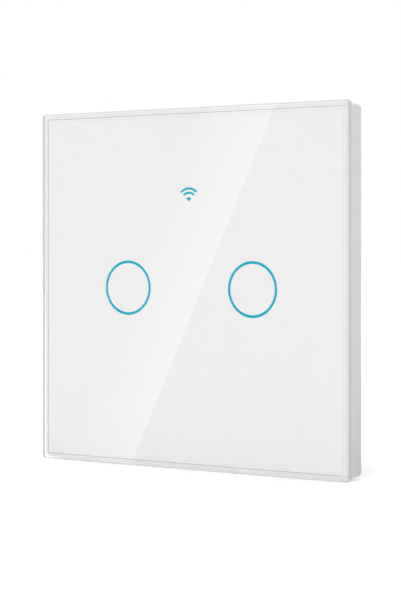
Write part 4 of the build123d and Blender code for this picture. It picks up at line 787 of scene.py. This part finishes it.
@dataclass
class TouchSide(SubAssembly):
    """What sits on the touch board: foam electrodes, LEDs, small parts and tracks. Sizes in mm."""

    ring_pitch: float = 35.0
    ring_radius: float = 6.3
    pad_foot: float = 0.93  # share of the radius that stands on the board
    pad_top: float = 0.95  # share of it before the rim turns down
    pad_edge: float = 0.25
    pad_crown: float = 0.12
    pad_glued: float = 0.1  # height over the board that has no open cells
    cell: float = 0.55  # width of the foam's open cells
    cell_depth: float = 0.12
    cell_reach: float = 0.6  # share of the width that is hollow
    cell_lean: Point = (0.12, 0.5)  # how much the hollows point at the axis and at the board
    led_size: Point = (1.6, 0.8)
    led_base: float = 0.2
    led_terminal: float = 0.34
    part_count: int = 6
    part_pitch: float = 2.6
    part_cap: float = 0.32
    chip_pitch: float = 1.27
    track: float = 0.35
    track_rise: float = 0.035
    rail_inset: float = 1.6  # from the board's edge to the long tracks along it
    pins: int = 6
    pin_pitch: float = 2.54
    solder: tuple[Point, ...] = ((0.42, 0.0), (0.36, 0.12), (0.2, 0.3), (0.14, 0.42))  # radius, height
    shroud_wall: float = 0.6
    radio_pads: int = 7
    radio_pad: Point = (1.06, 1.1)
    radio_pad_pitch: float = 2.0
    aerial: float = 0.45
    aerial_rise: float = 0.03
    aerial_reach: float = 5.4
    aerial_folds: int = 4

    def pad(self, side: str) -> None:
        """Builds a foam electrode: a disc with a soft rim, a slight crown and open cells."""
        room = Room(f"touch_pad_{side}")
        rear, top = room.rear, room.front + self.pad_crown
        shares = [step / PAD_RINGS for step in range(1, PAD_RINGS + 1)]
        profile = [(room.radius * share * self.pad_foot, rear) for share in shares]
        for share in shares:
            bulge = room.radius - self.pad_edge * (1 - sin(pi * share))
            profile.append((bulge, rear + (top - rear) * share))
        for share in shares[-2::-1]:
            profile.append((room.radius * share * self.pad_top, room.front + self.pad_crown * share**2))
        shape = Shape()
        shape.turned(FOAM, profile, room.place, sides=3 * SIDES)
        for vert in shape.mesh.verts:
            if vert.co.y < (rear - self.pad_glued) * MM:
                near = noise.voronoi(vert.co / (self.cell * MM))[0][0]
                inward = Vector((room.x * MM - vert.co.x, 0, room.z * MM - vert.co.z)) * self.cell_lean[0]
                inward.y = (rear * MM - vert.co.y) * self.cell_lean[1]
                hollow = max(0.0, self.cell_reach - near) / self.cell_reach
                vert.co += inward.normalized() * hollow * self.cell_depth * MM
        piece = self.seat(shape, f"foam_electrode_{side}", "foam", f"touch_pad_{side}")

    def led(self, shape: Shape, place: Point, turn: float) -> None:
        """Adds one LED: white base, tinned ends and a domed block of clear resin."""
        room = Room("ring_leds")
        length, width = self.led_size
        step = (length - self.led_terminal) / 2
        way = (cos(radians(turn)), sin(radians(turn)))
        base, rear = room.rear - self.led_base, room.rear
        shape.slab(PPA, (base, rear), (length - 0.1, width - 0.04), 0.06, 0.02, place, turn)
        for end in (-step, step):
            spot = (place[0] + end * way[0], place[1] + end * way[1])
            shape.slab(TIN, (base - 0.02, rear), (self.led_terminal, width), 0.08, 0.02, spot, turn)
        lens = (length - 2 * self.led_terminal + 0.06, width - 0.08)
        shape.slab(RESIN, (room.front, base), lens, 0.16, 0.14, place, turn)

    def leds(self) -> None:
        """Builds the LEDs under the two light guides, and the pictogram's."""
        shape = Shape()
        for side in (-1, 1):
            for heading in (45, 135, 225, 315):
                angle = radians(heading)
                x = side * self.ring_pitch / 2 + self.ring_radius * cos(angle)
                self.led(shape, (x, self.ring_radius * sin(angle)), heading + 90)
        self.seat(shape, "ring_led_chips", "led_package", "ring_leds")
        shape = Shape()
        self.led(shape, Room("signal_led").place, 0)
        self.seat(shape, "signal_led_chip", "led_package", "signal_led")

    def passives(self) -> None:
        """Builds the row of ceramic parts with their tinned ends."""
        room = Room("touch_passives")
        length, width = self.led_size
        shape = Shape()
        for part, x in enumerate(row(self.part_count, self.part_pitch)):
            body = CERAMIC if part % 3 else GLAZED
            depths = (room.front + 0.02, room.rear)
            shape.slab(body, depths, (width - 0.04, length - 0.2), 0.06, 0.03, (x, room.z))
            for end in (-1, 1):
                spot = (x, room.z + end * (length - self.part_cap) / 2)
                shape.slab(TIN, room.depths, (width, self.part_cap), 0.09, 0.05, spot)
        self.seat(shape, "small_parts", "ceramic_part", "touch_passives")

    def tracks(self) -> None:
        """Adds the raised tracks under the solder mask and the solder on the socket's pins."""
        board, chip, parts = Room("touch_board"), Room("touch_chip"), Room("touch_passives")
        radio = Room("radio_board")
        places = list(zip(row(self.part_count, self.part_pitch), row(self.part_count, self.chip_pitch)))
        paths = [[(x, radio.head + 0.4), (x, parts.foot - 0.1)] for x, _ in places]
        for x, pin in places[1:-1]:
            start = [(x, parts.head + 0.1), (x, parts.head + 1.6)]
            paths.append(start + [(pin, chip.foot - 1.4), (pin, chip.foot)])
        guide = self.ring_pitch / 2 - self.ring_radius
        edge = board.head - self.rail_inset
        for side in (-1, 1):
            for lane in (0, 1):
                pin = side * (0.5 + lane) * self.chip_pitch
                top, entry = chip.head + 1.4 - 0.7 * lane, 3.4 - 1.2 * lane
                away, down = side * (5.0 - 0.8 * lane), side * (5.0 - 0.8 * lane + 3.6)
                path = [(pin, chip.head), (pin, top), (away, top), (down, top - 3.6)]
                paths.append(path + [(down, entry), (side * guide, entry)])
            paths.append([(side * 6.0, edge), (side * 24.0, edge), (side * 26.5, edge - 2.5)])
            paths.append([(side * 12.0, -edge), (side * 24.0, -edge), (side * 26.5, 2.5 - edge)])
        y = board.front - self.track_rise / 2
        shape = Shape()
        for path in paths:
            shape.strap(WHITE_TRACK, [(x, y, z) for x, z in path], (0, 1, 0), self.track_rise, self.track)
        cone = [(radius, board.front - height) for radius, height in self.solder]
        for x in row(self.pins, self.pin_pitch):
            shape.turned(SOLDER, cone, (x, Room("pin_header").z))
        self.seat(shape, "touch_board_tracks", "white_board")

    def shroud(self) -> None:
        """Builds the soft shroud: a tube with a thin lip that seals against the film."""
        room = Room("signal_shroud")
        front, rear, r = room.front, room.rear, room.radius
        bore = r - self.shroud_wall
        outside = [(r - 0.1, rear), (r, rear - 0.1), (r, front + 0.7), (r - 0.12, front + 0.35)]
        lip = [(r - 0.2, front), (bore + 0.15, front), (bore + 0.05, front + 0.25)]
        profile = outside + lip + [(bore, front + 0.5), (bore, rear)]
        shape = Shape()
        shape.skin(RUBBER, [circle(radius, y, room.place) for radius, y in profile], closed=True)
        self.seat(shape, "pictogram_shroud", "shroud_rubber", "signal_shroud")

    def radio(self) -> None:
        """Builds the radio module: pads along the board's edges and a folded aerial."""
        room = Room("radio_board")
        shape = Shape()
        shape.slab(RADIO_MASK, room.depths, room.size, 0.4, 0.03, room.place)
        for side in (-1, 1):
            for pad in range(self.radio_pads):
                high = room.z + room.height / 2 - 2.2 - pad * self.radio_pad_pitch
                spot = (room.x + side * (room.width / 2 - 0.55), high)
                shape.slab(GOLD, (room.front - 0.03, room.rear - 0.3), self.radio_pad, 0.3, 0.02, spot)
        foot, start = room.foot + 1.2, room.x - self.aerial_reach
        path = [(start, foot + 4.4), (start, foot)]
        for fold in range(self.aerial_folds):
            out = start + 1.4 + fold * 2.4
            path += [(out, foot), (out, foot + 3.4), (out + 1.2, foot + 3.4), (out + 1.2, foot)]
        path.append((room.x + self.aerial_reach, foot))
        line = [(x, room.front - self.aerial_rise / 2, z) for x, z in path]
        shape.strap(RADIO_TRACK, line, (0, 1, 0), self.aerial_rise, self.aerial)
        self.seat(shape, "radio_module_board", "radio_resist", "radio_board")

    def radio_can(self) -> None:
        """Builds the module's pressed can: rounded rim, a shallow step and a raised top."""
        room = Room("radio_shield")
        rises = ((0.0, 0.5), (0.06, 0.28), (0.22, 0.12), (0.9, 0.1), (1.1, 0.02), (1.2, 0.0))
        steps = ((0.0, room.rear), *((inset, room.front + rise) for inset, rise in rises))
        shape = Shape()
        loops = [rounded(y, room.size, max(0.6, 1.2 - inset), room.place, inset) for inset, y in steps]
        shape.skin(TINPLATE, loops)
        self.seat(shape, "radio_can", "tinned_can", "radio_shield")

    def build(self) -> None:
        """Builds the touch board's pieces."""
        for side in ("left", "right"):
            self.pad(side)
        self.leds()
        self.passives()
        self.tracks()
        self.shroud()
        self.radio()
        self.radio_can()


@dataclass
class PowerSide(SubAssembly):
    """What sits on the mains board in a shape of its own. Sizes in mm."""

    pins: int = 6
    pin_pitch: float = 2.54
    pin_side: float = 0.64
    pin_tip: float = 0.3
    pin_taper: float = 0.4
    header_depths: Point = (3.0, 5.5)
    header_width: float = 2.5
    bead: float = 1.6  # the rolled groove above a can's foot
    score: float = 0.55  # length of the score lines on its top, as a share of the width
    lead: float = 0.25
    core_radius: float = 1.3
    turns: int = 9  # of the transformer, as they bulge under its tape
    bulge: float = 0.06
    leg: float = 2.5  # from the transformer's core down to its winding
    core_width: float = 2.8
    # Of a spool: thickness and chamfer of its flanges, how deep its wire lies, the wire's depth and pitch.
    # The relay's pitch is drawn coarser than the real 0.06 so that it shows.
    relay_spool: tuple[float, ...] = (0.5, 0.08, 0.3, 0.1, 0.25)
    choke_spool: tuple[float, ...] = (1.2, 0.15, 0.55, 0.16, 0.36)

    def header(self) -> None:
        """Builds the pin header: six chamfered cells and gold-plated pins with pointed ends."""
        room = Room("pin_header")
        tip, full = self.pin_tip, self.pin_side
        front, rear = room.front + self.pin_taper, room.rear - self.pin_taper
        steps = ((tip, room.front), (full, front), (full, rear), (tip, room.rear))
        shape = Shape()
        for x in row(self.pins, self.pin_pitch):
            cell = (self.pin_pitch, self.header_width)
            shape.slab(NYLON, self.header_depths, cell, 0.4, 0.06, (x, room.z))
            shape.skin(GOLD, [rounded(y, (side, side), 0.05, (x, room.z)) for side, y in steps])
        self.seat(shape, "pin_header_row", "connector_plastic", "pin_header")

    def can(self, node: str) -> None:
        """Builds an electrolytic capacitor: beaded can, shrunk sleeve with its stripe, scored top whose score
        lines are strips of painted shade.
        """
        room = Room(node)
        foot, top, r = room.front, room.rear, room.radius
        bead = foot + self.bead
        sleeve = [(r - 0.5, foot), (r - 0.12, foot + 0.08), (r, foot + 0.3), (r, bead - 0.35)]
        sleeve += [(r - 0.2, bead - 0.15), (r - 0.35, bead), (r - 0.2, bead + 0.15), (r, bead + 0.35)]
        sleeve += [(r, top - 0.5), (r - 0.14, top - 0.14), (r - 0.45, top - 0.02), (r - 0.8, top)]
        sleeve.append((r - 0.85, top - 0.08))
        shape = Shape()
        shape.turned(SLEEVE, sleeve, room.place, ends=(None, ALUMINIUM), stripe=(3, 8, STRIPE))
        # The score lines are flat strips, darker than the top: a painted shade of pressed grooves.
        for way in ((1, 0), (0, 1)):
            out = [side * self.score * r for side in (-1, 1)]
            ends = [(room.x + way[0] * far, top - 0.08, room.z + way[1] * far) for far in out]
            shape.strap(SCORE_PAINTED_SHADE, ends, (0, 1, 0), 0.02, 0.14)
        self.seat(shape, f"{node}_can", "can_sleeve", node)

    def rectifier(self) -> None:
        """Builds the bridge rectifier: bevelled block with a pin mark, on four flat leads."""
        room = Room("rectifier")
        foot, top = room.front, room.rear
        across, along = room.width / 2, room.height / 2
        shape = Shape()
        for side in (-1, 1):
            for end in (-1, 1):
                spot = (room.x + side * (across - 1.1), room.z + end * (along - 0.5))
                shape.slab(TIN, (foot, foot + self.lead), (0.7, 1.0), 0.08, 0.03, spot)
        steps = [(foot + self.lead / 2, 0.2), (foot + 1.1, 0.02), (foot + 1.3, 0.02)]
        steps += [(top - 0.1, 0.2), (top, 0.3)]
        shape.skin(EPOXY, [rounded(y, room.size, 0.15, room.place, inset) for y, inset in steps])
        mark = (room.x - across + 0.9, room.z + along - 0.9)
        shape.turned(PIN_MARK, ((0.35, top - 0.02), (0.32, top + 0.01)), mark)
        self.seat(shape, "bridge_rectifier", "chip_epoxy", "rectifier")

    def spool(self, node: str, rim: Finish, sizes: Sequence[float], bore: float = 0.0) -> Shape:
        """Builds two flanges and the wound wire between them.

        Args:
            node: the node whose room it fills.
            rim: the flanges' finish.
            sizes: as in relay_spool.
            bore: radius of a hole through it, or 0.

        Returns:
            Its mesh in the making.
        """
        room = Room(node)
        thick, cut, sink, depth, pitch = sizes
        r, start, end = room.radius, room.front, room.rear
        shape = Shape()
        for foot in (start, end - thick):
            top = foot + thick
            edge = ((r - cut, foot), (r, foot + cut), (r, top - cut), (r - cut, top))
            shape.turned(rim, edge, room.place, bore)
        shape.helical(COPPER, r - sink, depth, pitch, (start + thick, end - thick), room.place, bore)
        return shape

    def relay_coil(self, number: int) -> None:
        """Builds a relay's coil on its bobbin."""
        node = f"relay_{number}_coil"
        shape = self.spool(node, NYLON, self.relay_spool, self.core_radius)
        self.seat(shape, f"relay_{number}_winding", "copper_wire", node)

    def transformer(self) -> None:
        """Builds the taped winding with the bulge of its turns and the lap of its last layer."""
        room, core = Room("transformer_winding"), Room("transformer_core")
        start = core.front + self.leg
        hole = (self.core_width, core.height + 0.2)
        shape = Shape()
        loops = []
        for step in range(self.turns * 4 + 1):
            y = start + (room.rear - start) * step / (self.turns * 4)
            inset = self.bulge * (1 - cos(2 * pi * step / 4))
            loops.append(rounded(y, room.size, 1.2, room.place, inset))
        loops += [rounded(y, hole, 0.2, room.place) for y in (room.rear, start)]
        shape.skin(YELLOW_TAPE, loops, closed=True)
        lap = (room.x - room.width / 2 + 2.4, room.z + room.height / 2 - 0.05)
        shape.slab(YELLOW_TAPE, (start + 0.3, room.rear - 0.3), (3.4, 0.14), 0.06, 0.03, lap)
        foot = (room.height - hole[1]) / 2
        for side in (-1, 1):
            spot = (room.x, room.z + side * (hole[1] + foot) / 2)
            shape.slab(NYLON, (room.front, start), (room.width, foot), 0.3, 0.1, spot)
        self.seat(shape, "transformer_taped_winding", "winding_tape", "transformer_winding")

    def choke(self) -> None:
        """Builds the drum choke: ferrite flanges round a waist of enamelled wire."""
        shape = self.spool("choke", FERRITE, self.choke_spool)
        self.seat(shape, "choke_drum", "choke_sleeve", "choke")

    def build(self) -> None:
        """Builds the mains board's pieces."""
        self.header()
        self.rectifier()
        for node in ("mains_capacitor", "output_capacitor"):
            self.can(node)
        for number in (1, 2):
            self.relay_coil(number)
        self.transformer()
        self.choke()


@dataclass
class CarriedOver(SubAssembly):
    """The nodes that keep their CAD shape and get a finish: by slot, its finish and its nodes."""

    finishes: dict[str, tuple[Finish, str]] = field(
        default_factory=lambda: {
            "plate_plastic": (PLATE_PC, "mounting_plate"),
            "housing_plastic": (HOUSING_PC, "rear_housing"),
            "white_board": (WHITE_MASK, "touch_board"),
            "green_board": (GREEN_MASK, "power_board"),
            "diffuser": (OPAL, "light_guide_left light_guide_right"),
            "connector_plastic": (NYLON, "header_socket"),
            "ferrite": (FERRITE, "transformer_core"),
            "film_box": (YELLOW_PBT, "film_capacitor"),
            "varistor_coat": (DIPPED, "varistor"),
            "fuse_cap": (FUSE_PBT, "fuse"),
            "terminal_plastic": (TERMINAL_PA, "terminal_block"),
            "brass": (BRASS, "terminal_bars relay_1_contacts relay_2_contacts"),
            "clamp_steel": (CLAMP_STEEL, " ".join(f"terminal_clamp_{n}" for n in range(1, 5))),
            "relay_plastic": (RELAY_PBT, "relay_1_cover relay_2_cover"),
            "relay_foot": (FOOT_PBT, "relay_1_base relay_2_base"),
            "soft_iron": (IRON, "relay_1_yoke relay_2_yoke relay_1_armature relay_2_armature"),
        }
    )

    def build(self) -> None:
        """Dresses the nodes."""
        for slot, (finish, nodes) in self.finishes.items():
            for node in nodes.split():
                self.dress(node, slot, finish)


@dataclass
class Studio:
    """Floor, light and camera. Lengths in mm, the row frame's axes."""

    camera_place: tuple[float, float, float] = (215.46, -344.71, 9.84)
    camera_turn: float = 32.119  # degrees to the left of +Y
    lens: float = 101.0
    sensor: float = 36.0
    shift: float = -0.0887
    clip: Point = (0.01, 50.0)  # m
    floor_height: float = -43.0
    floor_size: float = 12000.0
    card_distance: float = 600.0  # from the wall plane to the card that the glass mirrors
    card_edge: tuple[Point, Point] = ((23.3, 40.7), (-15.7, -42.2))  # X and Z of two points on the glass
    card_rise: float = 60.0  # above and below the middle of the glass
    card_reach: float = 21.0  # width of the fading mirror image
    card_strength: float = 1.3
    sky: float = 0.95
    sky_right: float = 0.3  # of the sky, on the right
    sky_fade: Point = (-0.1, 0.8)  # from left to right, where it dims
    mirrored_back: float = 0.5  # of the sky, what gloss sees of it behind the wall plane
    mirrored_sky: float = 0.25  # the same in front of it
    mirrored_fade: Point = (0.1, -0.1)  # from back to front, where the one turns to the other
    lamp_place: tuple[float, float, float] = (0.0, -100.0, 1500.0)
    lamp_size: float = 1600.0
    lamp_power: float = 14.0  # W

    def camera(self) -> None:
        """Places the camera at the photograph's viewing angle."""
        data = bpy.data.cameras.new("camera")
        data.lens = self.lens
        data.sensor_width = self.sensor
        data.shift_y = self.shift
        data.clip_start, data.clip_end = self.clip
        camera = placed("camera", data)
        camera.location = [c * MM for c in self.camera_place]
        camera.rotation_euler = (pi / 2, 0, radians(self.camera_turn))
        bpy.context.scene.camera = camera

    def floor(self) -> None:
        """Lays a pale matt floor."""
        half = self.floor_size / 2
        shape = Shape()
        corners = ((-half, -half), (half, -half), (half, half), (-half, half))
        shape.mesh.faces.new([shape.mesh.verts.new((x * MM, y * MM, 0.0)) for x, y in corners])
        shape.number(FLOOR)
        floor = shape.piece("floor")
        floor.location.z = self.floor_height * MM
        floor.visible_glossy = False
        LOG.info("floor: stage, %.0f mm wide", self.floor_size)

    def card(self) -> None:
        """Hangs the lit card whose sharp edge the glass mirrors as a slanting streak."""
        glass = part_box("glass_panel")[0].y
        eye = Vector(c * MM for c in self.camera_place)
        mirrored = Vector((eye.x, 2 * glass - eye.y, eye.z))

        def thrown(x: float, z: float) -> Vector:
            """The card's point whose mirror image shows at (x, z) on the glass."""
            seen = Vector((x * MM, glass, z * MM)) - mirrored
            return mirrored + seen * ((-self.card_distance * MM - mirrored.y) / seen.y)

        (top_x, top_z), (low_x, low_z) = self.card_edge
        slope = (top_x - low_x) / (top_z - low_z)
        low, high = ((low_x + (z - low_z) * slope, z) for z in (-self.card_rise, self.card_rise))
        corners = ((low, 0.0), (low, 1.0), (high, 1.0), (high, 0.0))
        shape = bmesh.new()
        places = [thrown(x - self.card_reach * share, z) for (x, z), share in corners]
        face = shape.faces.new([shape.verts.new(place) for place in places])
        fade = shape.loops.layers.uv.new("fade")
        for loop, (_, share) in zip(face.loops, corners):
            loop[fade].uv = (share, 0)
        mesh = bpy.data.meshes.new("card")
        shape.to_mesh(mesh)
        shape.free()
        mat = bpy.data.materials.new("card_lit_fading")
        tree = emptied(mat)
        across = add_node(tree, "SeparateXYZ", links={0: add_node(tree, "UVMap", {"uv_map": "fade"})})
        level = add_node(tree, "MapRange", {"To Min": self.card_strength, "To Max": 0.0}, {"Value": across})
        lit = add_node(tree, "Emission", links={"Strength": level})
        both = add_node(tree, "AddShader", links={0: lit, 1: add_node(tree, "BsdfTransparent")})
        add_node(tree, "OutputMaterial", links={"Surface": both})
        mesh.materials.append(mat)
        card = placed("card", mesh)
        card.visible_camera = card.visible_diffuse = card.visible_shadow = False
        LOG.info("card: stage, %.0f mm in front of the wall plane", self.card_distance)

    def surround(self) -> None:
        """Sets a soft white surround, dimmer on the right, and in mirrors dimmer all round."""
        world = bpy.data.worlds.new("surround")
        bpy.context.scene.world = world
        tree = emptied(world)
        place = add_node(tree, "TexCoord").outputs["Generated"]
        way = add_node(tree, "SeparateXYZ", links={0: place}).outputs
        side = dict(zip(("From Min", "From Max"), self.sky_fade))
        side |= {"To Min": self.sky, "To Max": self.sky_right * self.sky}
        level = add_node(tree, "MapRange", side, {"Value": way[0]})
        back = dict(zip(("From Min", "From Max"), self.mirrored_fade))
        back |= {"To Min": self.mirrored_back, "To Max": self.mirrored_sky}
        front = add_node(tree, "MapRange", back, {"Value": way[1]})
        # Rays through the glass count as glossy too. Only the mirrored ones see the dimmer surround.
        path = add_node(tree, "LightPath").outputs
        rays = {0: path["Is Glossy Ray"], 1: path["Is Transmission Ray"]}
        apart = add_node(tree, "Math", {"operation": "SUBTRACT", "use_clamp": True}, rays)
        mirrored = add_node(tree, "Mix", {2: 1.0}, {0: apart, 3: front})
        level = add_node(tree, "Math", {"operation": "MULTIPLY"}, {0: level, 1: mirrored})
        seen = add_node(tree, "Math", {"operation": "MAXIMUM"}, {0: level, 1: path["Is Camera Ray"]})
        lit = add_node(tree, "Background", {"Color": WHITE}, {"Strength": seen})
        add_node(tree, "OutputWorld", links={"Surface": lit})

    def lamp(self) -> None:
        """Hangs an overhead softbox."""
        lamp = bpy.data.lights.new("overhead_softbox", "AREA")
        lamp.shape = "SQUARE"
        lamp.size = self.lamp_size * MM
        lamp.energy = self.lamp_power
        box = placed("overhead_softbox", lamp)
        box.location = [c * MM for c in self.lamp_place]
        box.visible_glossy = False

    def build(self) -> None:
        """Sets up the studio."""
        scene = bpy.context.scene
        scene.view_settings.view_transform = "Standard"
        scene.view_settings.look = "None"
        self.camera()
        self.floor()
        self.card()
        self.surround()
        self.lamp()


def main() -> None:
    """Builds the light switch and its studio."""
    logging.basicConfig(level=logging.INFO, format="%(message)s")
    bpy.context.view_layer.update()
    FrontPanel().build()
    CarriedOver().build()
    TouchSide().build()
    Chip(node="touch_chip").build()
    PowerSide().build()
    Chip(node="converter_chip", toward=1).build()
    Screws().build()
    HousingScrews().build()
    for number in range(1, 5):
        node = f"terminal_screw_{number}"
        TerminalScrew(body=node, node=node).build()
    Studio().build()


if __name__ == "__main__":
    main()
